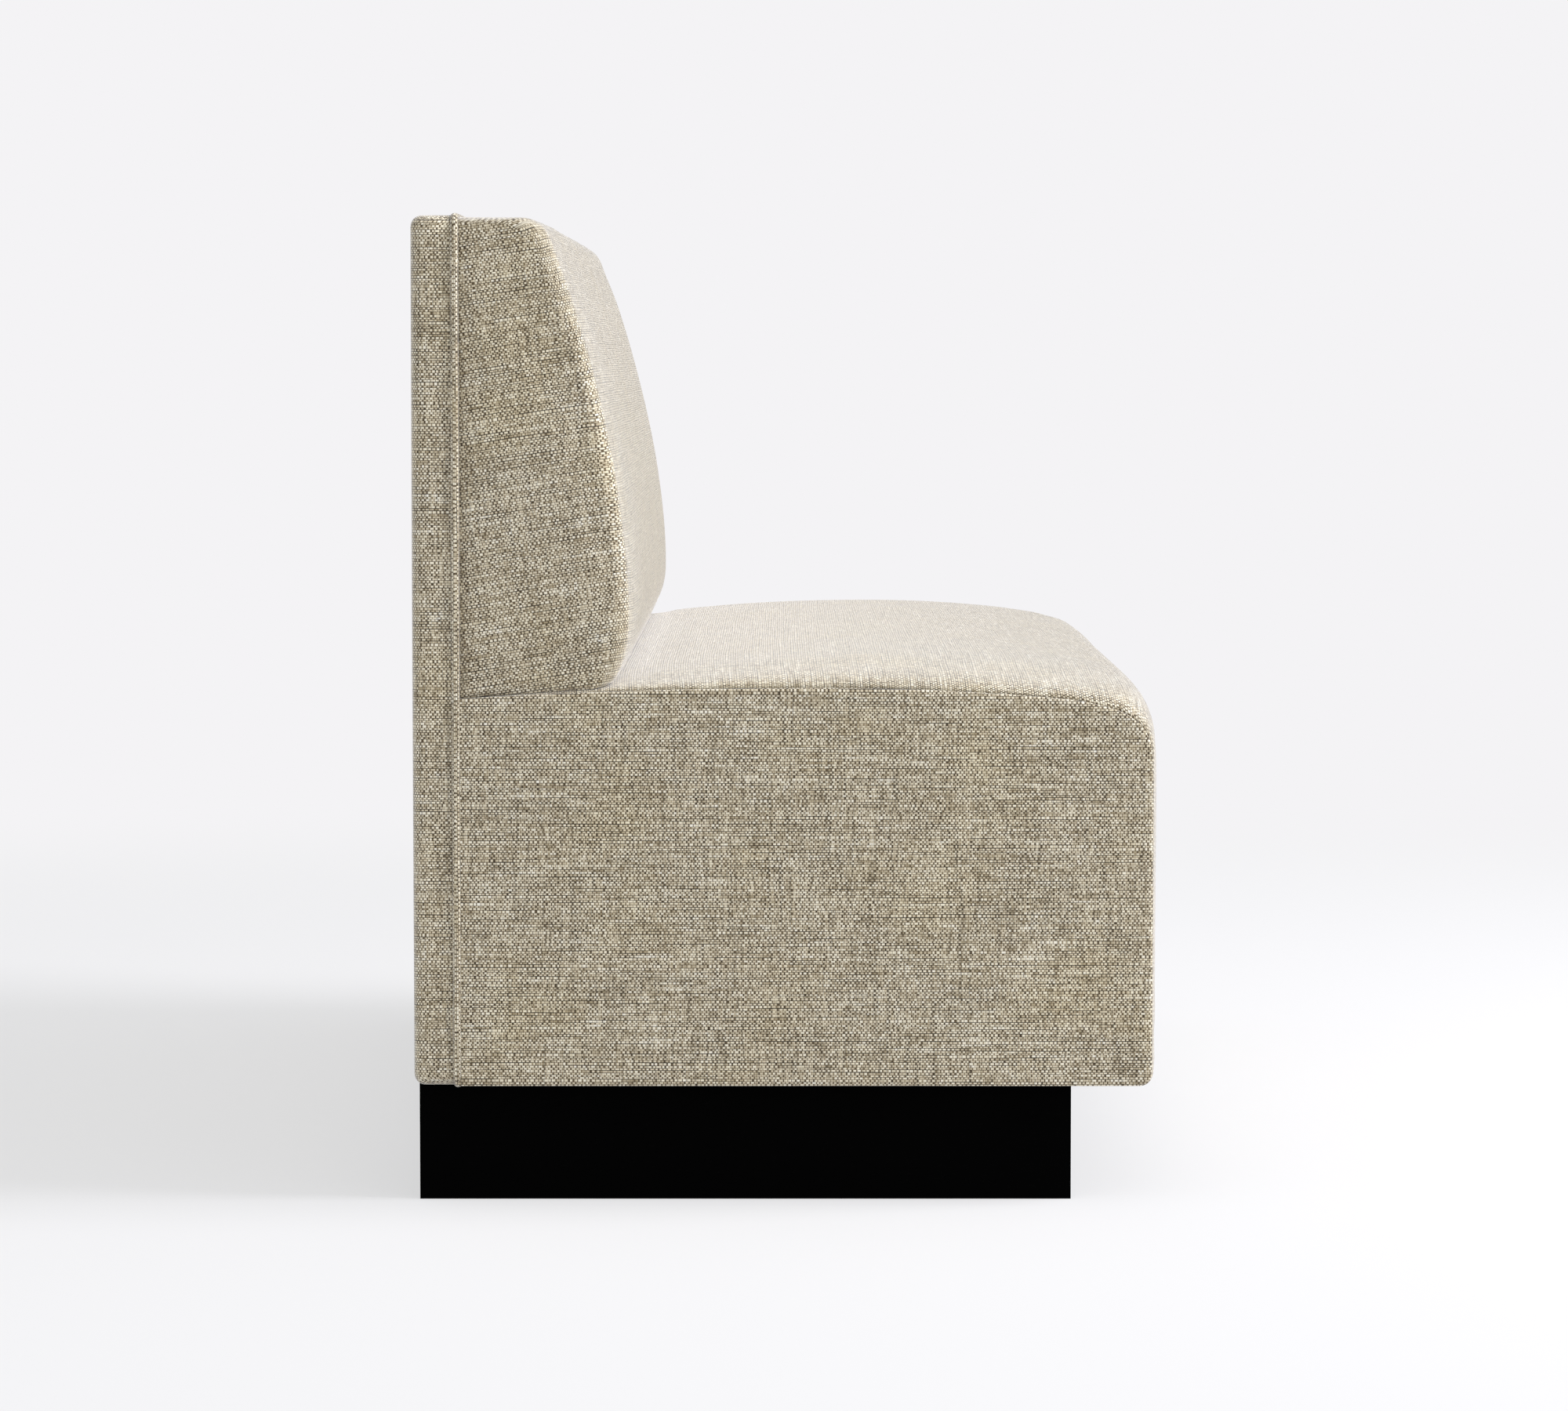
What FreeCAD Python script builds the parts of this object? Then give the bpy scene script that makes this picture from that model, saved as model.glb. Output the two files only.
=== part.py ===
# Upholstered banquette: a sprung seat and a padded back on a black toe-kick plinth
# X runs along the bench, -Y is the front, Z is up from the floor, and all sizes are in millimetres
import FreeCAD
import Part
import math
import os

Vec = FreeCAD.Vector

# Body as it is seen, over the covers
body_width = 1320.0
body_depth = 683.0
back_height = 902.0
plinth_height = 107.0
slab_depth = 40.0
cover = 2.0
clearance = 0.3

# Plinth
board = 18.0
toe_recess = 73.5
plinth_side_inset = 12.0
plinth_rear_inset = 4.5
brace_bay_count = 4
cleat = 38.0
cleat_length = 120.0

# Seat frame
seat_filling_depth = 104.0
bearer_width = 70.0
stretcher_height = 78.0
corner_block_leg = 64.0
corner_block_height = 80.0
corner_block_drop = 6.0
dust_cloth = 1.0
front_tuck = 30.0

# Seat outline at the side seam, from the peak of the top to the front
seam_height = 472.0
top_rear_radius = 5640.0
top_front_radius = 2500.0
shoulder_radius = 243.0
shoulder_slope = 5.0
nose_slope = 18.0
nose_radius = 46.0
lower_front_radius = 11.0

# Crown of the seat, which rises from the side seams and flattens along the bench
seat_crown = 25.5
crown_rear_radius = 1650.0
crown_front_radius = 1400.0
crown_shoulder_slope = 8.0
crown_nose_slope = 14.0
front_bulge = 6.0
crown_fullness = 8
crown_steps = 5

# Seat filling
side_wadding = 8.0
fibre_wrap = 12.0
front_foam = 10.0

# Webbing and the cloth over it
web_width = 60.0
web_thickness = 1.5
web_gap = 0.3
web_ramp = 12.0
web_landing = 14.0
deck_cloth = 1.0
seat_web_pitch = 120.0
back_upright_pitch = 120.0
back_level_pitch = 105.0

# Back frame
rail_thickness = 29.0
post_width = 45.0
top_rail_height = 45.0
tack_rail_height = 45.0
lower_rail_height = 70.0
middle_rail_drop = 99.0
back_panel = 4.0
rear_wadding = 5.0
top_wadding = 5.0
slab_corner_radius = 12.0
slab_rear_radius = 10.0

# Back cushion: front outline at mid-width and how its ends turn
cushion_top_drop = 1.5
cushion_side_inset = 4.0
cushion_thickness = 156.5
belly_rise = 63.0
belly_radius = 590.0
belly_angle = 6.0
top_corner_depth = 57.0
top_corner_radius = 29.0
foot_set_back = 16.0
end_radius = 14.0
end_top_drop = 5.0
cushion_crown = 6.0
cushion_wrap = 10.0
end_steps = 3

# Piping round the outside back
welt_diameter = 7.5
welt_proud = 2.5
welt_clearance = 0.1
welt_sides = 8

# Fasteners, with few-sided shanks because they repeat
rod_sides = 6
screw_radius = 2.2
screw_head_radius = 4.2
screw_head_height = 2.6
screw_clearance = 0.1
plinth_screw_length = 50.0
bolt_radius = 4.0
bolt_head_radius = 7.4
bolt_head_height = 5.3
washer_radius = 12.0
washer_thickness = 1.6
nut_barrel_radius = 5.3
nut_flange_radius = 11.0
nut_flange = 1.5
nut_barrel_length = 11.0
bolt_from_gable = 212.0

# Places that follow from the sizes above
half_body = body_width / 2
rear_face = body_depth / 2
front_seam = -rear_face + front_bulge
slab_front = rear_face - slab_depth
body_base = plinth_height + dust_cloth - cover
frame_base = plinth_height + dust_cloth
frame_top = seam_height - seat_filling_depth
half_top = half_body - cover
half_frame = half_top - side_wadding
half_inside = half_frame - board
seat_rear = slab_front - cover
board_front = front_seam + cover + fibre_wrap + front_foam
web_stack = 2 * web_thickness + web_gap
deck_top = frame_top + web_stack + deck_cloth
plinth_half = half_body - plinth_side_inset
brace_pitch = 2 * plinth_half / brace_bay_count
plinth_front = front_seam + toe_recess
plinth_rear = rear_face - plinth_rear_inset
back_frame_top = back_height - cover - top_wadding
post_inside = half_frame - post_width
tack_rail_base = seam_height
middle_rail_base = frame_top - middle_rail_drop
thickest_height = seam_height + belly_rise
rail_rear = slab_front + rail_thickness
cushion_top = back_height - cushion_top_drop
cushion_front = slab_front - cushion_thickness
half_cushion = half_body - cushion_side_inset
deck_plane = slab_front - web_stack - deck_cloth

os.makedirs("parts", exist_ok=True)


def save(name, solids):
    shape = solids[0] if len(solids) == 1 else Part.makeCompound(solids)
    shape.exportStep("parts/" + name + ".step")


def box(x_range, y_range, z_range):
    size = [high - low for low, high in (x_range, y_range, z_range)]
    return Part.makeBox(*size, Vec(x_range[0], y_range[0], z_range[0]))


def mirrored(solid):
    return solid.mirror(Vec(0, 0, 0), Vec(1, 0, 0))


def both_ends(solid):
    return [mirrored(solid), solid]


def solid_of(shape):
    return max(shape.Solids, key=lambda piece: piece.Volume)


def ring(sides, radius, centre, along):
    across = Vec(0, 0, 1) if abs(along.z) < 0.5 else Vec(1, 0, 0)
    turns = [FreeCAD.Rotation(along, 360.0 * (step + 0.5) / sides) for step in range(sides)]
    corners = [centre + turn.multVec(across * radius) for turn in turns]
    return Part.makePolygon(corners + corners[:1])


def rod(radius, length, seat, along):
    return Part.Face(ring(rod_sides, radius, seat, along)).extrude(along * length)


# Outlines in the YZ plane: an angle of 0 faces up, 90 faces the front and 180 faces down
def facing(angle):
    turn = math.radians(angle)
    return -math.sin(turn), math.cos(turn)


def stepped(centre, distance, angle):
    ahead, up = facing(angle)
    return centre[0] + distance * ahead, centre[1] + distance * up


def arc(x, centre, radius, start, end):
    places = [stepped(centre, radius, angle) for angle in (start, (start + end) / 2, end)]
    return Part.Arc(*[Vec(x, *place) for place in places]).toShape()


# Radius of the arc that leaves a point, where it faces an angle, and runs into a corner's arc
# It is negative where that arc is hollow
def tangent_radius(start, angle, corner_centre, corner):
    ahead, up = facing(angle)
    across = (corner_centre[0] - start[0], corner_centre[1] - start[1])
    inward = -(across[0] * ahead + across[1] * up)
    return (across[0] ** 2 + across[1] ** 2 - corner ** 2) / (2 * (inward - corner))


def line(x, start, end):
    return Part.LineSegment(Vec(x, *start), Vec(x, *end)).toShape()


# Where two circles cross, on the front side
def front_meeting(first, first_radius, second, second_radius):
    apart = math.dist(first, second)
    ahead = ((second[0] - first[0]) / apart, (second[1] - first[1]) / apart)
    along = (first_radius ** 2 - second_radius ** 2 + apart ** 2) / (2 * apart)
    across = math.sqrt(first_radius ** 2 - along ** 2)
    sides = [(first[0] + along * ahead[0] - turn * across * ahead[1],
              first[1] + along * ahead[1] + turn * across * ahead[0]) for turn in (-1, 1)]
    return min(sides)


def loft(outline, places):
    both = sorted(set(places + [-x for x in places]))
    return Part.makeLoft([outline(x) for x in both], True, True)


# Seat form: the cover's outline sunk by an inset, so that every layer is parallel to it
def crown_share(x):
    return math.sqrt(max(0.0, 1 - min(1.0, abs(x) / half_top) ** crown_fullness))


def blended_radius(at_seam, at_crown, share):
    return 1 / ((1 - share) / at_seam + share / at_crown)


class SeatTop:
    def __init__(self, x):
        share = crown_share(x)
        self.rear_radius = blended_radius(top_rear_radius, crown_rear_radius, share)
        self.front_radius = blended_radius(top_front_radius, crown_front_radius, share)
        self.to_shoulder = shoulder_slope + (crown_shoulder_slope - shoulder_slope) * share
        self.to_nose = nose_slope + (crown_nose_slope - nose_slope) * share
        self.front = front_seam - front_bulge * share
        level = self.front + nose_radius
        level += (shoulder_radius - nose_radius) * math.sin(math.radians(self.to_nose))
        level += (self.front_radius - shoulder_radius) * math.sin(math.radians(self.to_shoulder))
        peak = seam_height + seat_crown * share
        self.rear_centre = (level, peak - self.rear_radius)
        self.front_centre = (level, peak - self.front_radius)

    # How far the seat's rear arc has turned where it reaches a place, at a height above the seat
    def rear_slope(self, place, above):
        return -math.degrees(math.asin((place - self.rear_centre[0]) / (self.rear_radius + above)))


def seat_outline(x, inset, rear, base):
    seat = SeatTop(x)
    rear_centre, rear_radius = seat.rear_centre, seat.rear_radius
    front_centre, front_radius = seat.front_centre, seat.front_radius
    to_shoulder, to_nose, front = seat.to_shoulder, seat.to_nose, seat.front
    shoulder_centre = stepped(front_centre, front_radius - shoulder_radius, to_shoulder)
    nose_centre = stepped(shoulder_centre, shoulder_radius - nose_radius, to_nose)
    rear_slope = seat.rear_slope(rear, -inset)
    rear_top = stepped(rear_centre, rear_radius - inset, rear_slope)
    nose_foot = stepped(nose_centre, nose_radius - inset, 90)
    corner = max(1.0, lower_front_radius - inset)
    corner_centre = (front + inset + corner, base + corner)
    corner_top = stepped(corner_centre, corner, 90)
    corner_foot = stepped(corner_centre, corner, 180)
    edges = [
        line(x, (rear, base), rear_top),
        arc(x, rear_centre, rear_radius - inset, rear_slope, 0),
        arc(x, front_centre, front_radius - inset, 0, to_shoulder),
        arc(x, shoulder_centre, shoulder_radius - inset, to_shoulder, to_nose),
        arc(x, nose_centre, nose_radius - inset, to_nose, 90),
        line(x, nose_foot, corner_top),
        arc(x, corner_centre, corner, 90, 180),
        line(x, corner_foot, (rear, base)),
    ]
    return Part.Wire(edges)


def crown_places(half):
    turns = [math.pi / 2 * step / crown_steps for step in range(crown_steps)]
    places = [half_top * math.cos(turn) ** (2 / crown_fullness) for turn in turns]
    return [x for x in places if x < half] + [half, 0.0]


def seat_form(inset, half, rear, base):
    return loft(lambda x: seat_outline(x, inset, rear, base), crown_places(half))


def seat_side(inset, inner, outer, rear, base):
    outline = seat_outline(half_body, inset, rear, base)
    slab = Part.Face(outline).extrude(Vec(outer - inner, 0, 0))
    return slab.translated(Vec(inner - half_body, 0, 0))


# Radius of the arc from the cushion's thickest place down to the seat
def foot_radius(front, seat):
    foot = front + foot_set_back
    drop = thickest_height - stepped(seat.rear_centre, seat.rear_radius, seat.rear_slope(foot, 0))[1]
    return (drop ** 2 + foot_set_back ** 2) / (2 * foot_set_back)


# Back cushion form: one outline carried along the bench, set back round its ends, on the seat
def cushion_outline(x, inset, above_seat):
    half = half_cushion - inset
    turn = end_radius - inset
    from_end = min(turn, half - abs(x))
    round_share = 1 - math.sqrt(max(0.0, 1 - ((turn - from_end) / turn) ** 2))
    crown = cushion_crown * crown_share(x * half_top / half)
    front = cushion_front + inset - crown + turn * round_share
    top = cushion_top - inset - end_top_drop * round_share
    belly = belly_radius - inset
    corner = top_corner_radius - inset
    belly_centre = (front + belly, thickest_height)
    corner_centre = (front - inset + cushion_thickness - top_corner_depth, top - corner)
    upper = tangent_radius(stepped(belly_centre, belly, 90 - belly_angle), 90 - belly_angle,
                           corner_centre, corner)
    upper_centre = stepped(belly_centre, belly - upper, 90 - belly_angle)
    corner_angle = math.degrees(math.atan2((upper_centre[0] - corner_centre[0]) / (upper - corner),
                                           (corner_centre[1] - upper_centre[1]) / (upper - corner)))
    seat = SeatTop(x)
    sole = seat.rear_radius + above_seat
    foot = foot_radius(front - inset, seat) - inset
    foot_centre = (front + foot, thickest_height)
    foot_end = front_meeting(foot_centre, foot, seat.rear_centre, sole)
    foot_angle = 90 + math.degrees(math.asin((foot_centre[1] - foot_end[1]) / foot))
    front_slope = seat.rear_slope(foot_end[0], above_seat)
    rear_slope = seat.rear_slope(slab_front, above_seat)
    edges = [
        line(x, stepped(seat.rear_centre, sole, rear_slope), (slab_front, top)),
        line(x, (slab_front, top), (corner_centre[0], top)),
        arc(x, corner_centre, corner, 0, corner_angle),
        arc(x, upper_centre, upper, corner_angle, 90 - belly_angle),
        arc(x, belly_centre, belly, 90 - belly_angle, 90),
        arc(x, foot_centre, foot, 90, foot_angle),
        arc(x, seat.rear_centre, sole, front_slope, rear_slope),
    ]
    return Part.Wire(edges)


def cushion_form(inset, above_seat):
    half = half_cushion - inset
    turns = [math.pi / 2 * step / end_steps for step in range(end_steps + 1)]
    places = [half - (end_radius - inset) * (1 - math.cos(turn)) for turn in turns]
    places += [x for x in crown_places(half_top) if x < half - (end_radius - inset)]
    return loft(lambda x: cushion_outline(x, inset, above_seat), places)


# Outside back: a shallow slab with rounded corners
def slab_form(inset):
    half = half_body - inset
    form = box((-half, half), (slab_front, rear_face - inset), (body_base + inset, back_height - inset))
    corners = [edge for edge in form.Edges if abs(edge.tangentAt(edge.FirstParameter).y) > 0.9]
    form = form.makeFillet(slab_corner_radius - inset, corners)
    rear_edges = [edge for edge in form.Edges if edge.BoundBox.YMin > rear_face - inset - 0.01]
    return form.makeFillet(slab_rear_radius - inset, rear_edges)


def welt_form(extra):
    sunk = welt_diameter / 2 - welt_proud
    reach = half_body - sunk
    turn = slab_corner_radius - sunk
    low = body_base + sunk
    high = back_height - sunk
    diagonal = turn * math.sqrt(0.5)

    def at(x, z):
        return Vec(x, slab_front, z)

    def corner(side, z, up):
        middle = at(side * (reach - turn + diagonal), z + up * diagonal)
        ends = [at(side * (reach - turn), z + up * turn), middle, at(side * reach, z)]
        return Part.Arc(*ends).toShape()

    edges = [
        corner(-1, low + turn, -1),
        Part.LineSegment(at(-reach, low + turn), at(-reach, high - turn)).toShape(),
        corner(-1, high - turn, 1),
        Part.LineSegment(at(-reach + turn, high), at(reach - turn, high)).toShape(),
        corner(1, high - turn, 1),
        Part.LineSegment(at(reach, high - turn), at(reach, low + turn)).toShape(),
        corner(1, low + turn, -1),
    ]
    path = Part.Wire(Part.__sortEdges__(edges))
    start = path.OrderedVertexes[0].Point
    section = ring(welt_sides, welt_diameter / 2 + extra, start, Vec(1, 0, 0))
    return path.makePipeShell([section], True, False)


welt_channel = welt_form(welt_clearance)


def without_welt(shape):
    return solid_of(shape.cut(welt_channel))


# Screws and bolts: a shank that runs from its head along a direction
def fastener(head_seat, along, length, shank, head, head_height):
    body = rod(shank, length, head_seat, along)
    cap = rod(head, head_height, head_seat - along * head_height, along)
    return body.fuse(cap)


def drilled(solid, seats, along, length, radius):
    for seat in seats:
        solid = solid.cut(rod(radius, length, seat, along))
    return solid


def spaced(count, low, high):
    pitch = (high - low) / count
    return [low + pitch * (index + 0.5) for index in range(count)]


# Plinth
def brace_middles():
    return [brace_pitch * step - plinth_half for step in range(1, brace_bay_count)]


def plinth_cleat_places():
    bays = spaced(brace_bay_count, -plinth_half, plinth_half)
    front = plinth_front + board
    rear = plinth_rear - board - cleat
    return [(x, y) for y in (front, rear) for x in bays]


def plinth_screw_seats():
    low = plinth_height - cleat
    rear_board_middle = seat_rear - board / 2
    rows = {plinth_front + board: plinth_front + board + cleat / 2,
            plinth_rear - board - cleat: rear_board_middle}
    return [Vec(x, rows[y], low) for x, y in plinth_cleat_places()]


def make_plinth():
    height = (0, plinth_height)
    inner = plinth_half - board
    front_board = box((-plinth_half, plinth_half), (plinth_front, plinth_front + board), height)
    rear_board = box((-plinth_half, plinth_half), (plinth_rear - board, plinth_rear), height)
    between = (plinth_front + board, plinth_rear - board)
    right_board = box((inner, plinth_half), between, height)
    save("plinth_front_board", [front_board])
    save("plinth_rear_board", [rear_board])
    save("plinth_left_board", [mirrored(right_board)])
    save("plinth_right_board", [right_board])
    braces = []
    for middle in brace_middles():
        braces.append(box((middle - board / 2, middle + board / 2), between, height))
    save("plinth_cross_braces", braces)
    cleats = []
    for x, y in plinth_cleat_places():
        block = box((x - cleat_length / 2, x + cleat_length / 2), (y, y + cleat),
                    (plinth_height - cleat, plinth_height))
        cleats.append(drill_for_plinth_screws(block))
    save("plinth_cleats", cleats)
    screws = [fastener(seat, Vec(0, 0, 1), plinth_screw_length, screw_radius,
                       screw_head_radius, screw_head_height) for seat in plinth_screw_seats()]
    save("plinth_screws", screws)


def drill_for_plinth_screws(solid):
    return drilled(solid, plinth_screw_seats(), Vec(0, 0, 1), plinth_screw_length + clearance,
                   screw_radius + screw_clearance)


# Bolts that hold the back to the seat
def bolt_seats():
    heights = (frame_base + lower_rail_height / 2, middle_rail_base + lower_rail_height / 2)
    front = seat_rear - board - washer_thickness
    reach = half_inside - bolt_from_gable
    return [Vec(x, front, z) for z in heights for x in (-reach, reach)]


def bolt_holes(solid, radius):
    through = washer_thickness + board + cover + rail_thickness
    return drilled(solid, bolt_seats(), Vec(0, 1, 0), through, radius + screw_clearance)


def make_bolts():
    length = washer_thickness + board + cover + rail_thickness - clearance
    bolts = [fastener(seat, Vec(0, 1, 0), length, bolt_radius, bolt_head_radius, bolt_head_height)
             for seat in bolt_seats()]
    save("back_bolts", bolts)
    washers = []
    nuts = []
    for seat in bolt_seats():
        disc = rod(washer_radius, washer_thickness, seat, Vec(0, 1, 0))
        hole = rod(bolt_radius + screw_clearance, washer_thickness, seat, Vec(0, 1, 0))
        washers.append(disc.cut(hole))
        flange_seat = Vec(seat.x, rail_rear - nut_flange, seat.z)
        flange = rod(nut_flange_radius, nut_flange, flange_seat, Vec(0, 1, 0))
        barrel_seat = Vec(seat.x, rail_rear - nut_barrel_length, seat.z)
        barrel = rod(nut_barrel_radius, nut_barrel_length, barrel_seat, Vec(0, 1, 0))
        thread = rod(bolt_radius + screw_clearance, nut_barrel_length, barrel_seat, Vec(0, 1, 0))
        nuts.append(flange.fuse(barrel).cut(thread))
    save("bolt_washers", washers)
    save("back_tee_nuts", nuts)


def tee_nut_pockets(rail):
    for seat in bolt_seats():
        flange_seat = Vec(seat.x, rail_rear - nut_flange, seat.z)
        barrel_seat = Vec(seat.x, rail_rear - nut_barrel_length, seat.z)
        rail = rail.cut(rod(nut_flange_radius, nut_flange, flange_seat, Vec(0, 1, 0)))
        rail = rail.cut(rod(nut_barrel_radius, nut_barrel_length, barrel_seat, Vec(0, 1, 0)))
    return rail


# Seat frame
def corner_block():
    low = frame_top - corner_block_drop - corner_block_height
    corner = Vec(half_inside, seat_rear - board, low)
    along_rear = corner - Vec(corner_block_leg, 0, 0)
    along_side = corner - Vec(0, corner_block_leg, 0)
    face = Part.Face(Part.makePolygon([corner, along_rear, along_side, corner]))
    return face.extrude(Vec(0, 0, corner_block_height))


def in_four_corners(solid):
    middle = (board_front + seat_rear) / 2
    front = solid.mirror(Vec(0, middle, 0), Vec(0, 1, 0))
    return both_ends(solid) + both_ends(front)


def make_seat_frame():
    height = (frame_base, frame_top)
    depth = (board_front, seat_rear)
    gable = without_welt(box((half_inside, half_frame), depth, height))
    save("seat_left_gable", [mirrored(gable)])
    save("seat_right_gable", [gable])
    span = (-half_inside, half_inside)
    save("seat_front_board", [box(span, (board_front, board_front + board), height)])
    rear_board = box(span, (seat_rear - board, seat_rear), height)
    rear_board = drill_for_plinth_screws(bolt_holes(rear_board, bolt_radius))
    save("seat_rear_board", [rear_board])
    bearer_height = (frame_base, frame_base + board)
    bearer = box(span, (plinth_front, plinth_front + bearer_width), bearer_height)
    save("seat_bearer", [drill_for_plinth_screws(bearer)])
    stretchers = []
    between = (board_front + board, seat_rear - board)
    for middle in brace_middles():
        stretchers.append(box((middle - board / 2, middle + board / 2), between,
                              (frame_base + board, frame_base + board + stretcher_height)))
    save("seat_stretchers", stretchers)
    save("seat_corner_blocks", in_four_corners(corner_block()))


# Webbing: straps that pass over and under each other
def strap(place, across, start, end, overs):
    line_below = [(start, 0.0)]
    flat = web_width / 2 + clearance
    rise = web_thickness + web_gap
    for middle in overs:
        line_below += [(middle - flat - web_ramp, 0.0), (middle - flat, rise),
                       (middle + flat, rise), (middle + flat + web_ramp, 0.0)]
    line_below.append((end, 0.0))
    line_above = [(along, height + web_thickness) for along, height in reversed(line_below)]
    corners = [place(along, height) for along, height in line_below + line_above]
    return Part.Face(Part.makePolygon(corners + corners[:1])).extrude(across)


def web_middles(low, high, pitch):
    return spaced(max(1, int((high - low) / pitch)), low, high)


def woven(first, second, first_place, second_place,
          first_ends, second_ends, first_across, second_across):
    straps = []
    for index, centre in enumerate(first):
        overs = [other for turn, other in enumerate(second) if (index + turn) % 2 == 0]
        straps.append(strap(first_place(centre), first_across, *first_ends, overs))
    crossing = []
    for index, centre in enumerate(second):
        overs = [other for turn, other in enumerate(first) if (index + turn) % 2 == 1]
        crossing.append(strap(second_place(centre), second_across, *second_ends, overs))
    return straps, crossing


def make_seat_webbing():
    inner_front = board_front + board
    inner_rear = seat_rear - board
    columns = web_middles(-half_inside, half_inside, seat_web_pitch)
    rows = web_middles(inner_front, inner_rear, seat_web_pitch)
    half = web_width / 2
    long_ends = (inner_front - web_landing, inner_rear + web_landing)
    cross_ends = (-half_inside - web_landing, half_inside + web_landing)
    straps, crossing = woven(
        columns, rows,
        lambda x: lambda along, height: Vec(x - half, along, frame_top + height),
        lambda y: lambda along, height: Vec(along, y - half, frame_top + height),
        long_ends, cross_ends, Vec(web_width, 0, 0), Vec(0, web_width, 0))
    save("seat_long_webbing", straps)
    save("seat_cross_webbing", crossing)
    reach = half_inside + web_landing
    cloth = box((-reach, reach), long_ends, (frame_top + web_stack, deck_top))
    save("seat_deck_cloth", [cloth])


def make_back_webbing():
    low = tack_rail_base + tack_rail_height
    high = back_frame_top - top_rail_height
    columns = web_middles(-post_inside, post_inside, back_upright_pitch)
    rows = web_middles(low, high, back_level_pitch)
    half = web_width / 2
    upright_ends = (low - web_landing, high + web_landing)
    level_ends = (-post_inside - web_landing, post_inside + web_landing)
    straps, crossing = woven(
        columns, rows,
        lambda x: lambda along, height: Vec(x - half, slab_front - height, along),
        lambda z: lambda along, height: Vec(along, slab_front - height, z - half),
        upright_ends, level_ends, Vec(web_width, 0, 0), Vec(0, 0, web_width))
    save("back_upright_webbing", straps)
    save("back_level_webbing", crossing)
    reach = post_inside + web_landing
    base = seam_height + seat_crown + cover + 2 * clearance
    cloth = box((-reach, reach), (deck_plane, deck_plane + deck_cloth), (base, upright_ends[1]))
    save("back_deck_cloth", [cloth])


# Seat filling and covers
def make_seat_upholstery():
    outer = seat_form(0.0, half_top, slab_front, body_base)
    inner = seat_form(cover, half_top, seat_rear, frame_base)
    core = seat_form(cover + fibre_wrap, half_frame, seat_rear, body_base)
    wadding = without_welt(seat_side(cover, half_frame, half_top, seat_rear, frame_base))
    foam_space = box((-half_frame, half_frame), (-rear_face, seat_rear), (deck_top, back_height))
    save("seat_foam", [solid_of(core.common(foam_space))])
    front_space = box((-half_frame, half_frame), (-rear_face, board_front), (frame_base, deck_top))
    save("seat_front_foam", [solid_of(core.common(front_space))])
    wrap_space = box((-half_frame, half_frame), (-rear_face, seat_rear), (frame_base, back_height))
    wrap = solid_of(inner.common(wrap_space)).cut(core)
    save("seat_fibre_wrap", [without_welt(wrap)])
    save("seat_left_wadding", [mirrored(wadding)])
    save("seat_right_wadding", [wadding])
    tuck_end = front_seam + front_tuck
    under = box((-half_body, half_body), (tuck_end, slab_front + clearance),
                (body_base - clearance, frame_base))
    top_cover = outer.cut(inner).cut(under)
    top_cover = bolt_holes(solid_of(top_cover), bolt_radius)
    save("seat_top_cover", [without_welt(top_cover)])
    side = seat_side(0.0, half_top, half_body, slab_front, body_base)
    tuck_reach = (plinth_half + clearance, half_top)
    tuck = box(tuck_reach, (tuck_end, slab_front), (body_base, frame_base))
    side = without_welt(side.fuse(tuck))
    save("seat_left_cover", [mirrored(side)])
    save("seat_right_cover", [side])
    dust = box((-plinth_half, plinth_half), (tuck_end + clearance, slab_front),
               (plinth_height, frame_base))
    save("dust_cover", [drill_for_plinth_screws(dust)])


# Back frame, filling and covers
def make_back_frame():
    depth = (slab_front, rail_rear)
    post = box((post_inside, half_frame), depth, (frame_base, back_frame_top))
    post = without_welt(post)
    save("back_left_post", [mirrored(post)])
    save("back_right_post", [post])
    span = (-post_inside, post_inside)
    lower = box(span, depth, (frame_base, frame_base + lower_rail_height))
    middle = box(span, depth, (middle_rail_base, middle_rail_base + lower_rail_height))
    tack = box(span, depth, (tack_rail_base, tack_rail_base + tack_rail_height))
    top = box(span, depth, (back_frame_top - top_rail_height, back_frame_top))
    save("back_lower_rail", [tee_nut_pockets(bolt_holes(lower, bolt_radius))])
    save("back_middle_rail", [tee_nut_pockets(bolt_holes(middle, bolt_radius))])
    save("back_tack_rail", [tack])
    save("back_top_rail", [top])
    panel = box((-half_frame, half_frame), (rail_rear, rail_rear + back_panel),
                (frame_base, back_frame_top))
    save("back_panel", [panel])


def make_back_upholstery():
    inner_slab = slab_form(cover)
    frame_space = box((-half_frame, half_frame), (slab_front, rail_rear + back_panel),
                      (frame_base, back_frame_top))
    save("back_rear_wadding", [without_welt(inner_slab.cut(frame_space))])
    over_plinth = box((-plinth_half - clearance, plinth_half + clearance),
                      (slab_front, plinth_rear + clearance), (0, frame_base))
    shell = slab_form(0.0).cut(inner_slab).cut(over_plinth).cut(frame_space)
    save("outside_back_cover", [without_welt(shell)])
    save("back_welt", [welt_form(0.0)])
    above = cover + clearance
    outer = cushion_form(0.0, clearance)
    inner = cushion_form(cover, above)
    core = cushion_form(cover + cushion_wrap, above + cushion_wrap)
    webbing_space = box((-half_frame, half_frame), (deck_plane, slab_front + clearance),
                        (seam_height - seat_crown, back_frame_top))
    save("back_cushion_cover", [without_welt(outer.cut(inner))])
    save("back_fibre_wrap", [without_welt(inner.cut(core).cut(webbing_space))])
    save("back_foam", [solid_of(core.cut(webbing_space))])


make_plinth()
make_bolts()
make_seat_frame()
make_seat_webbing()
make_seat_upholstery()
make_back_frame()
make_back_webbing()
make_back_upholstery()
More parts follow.
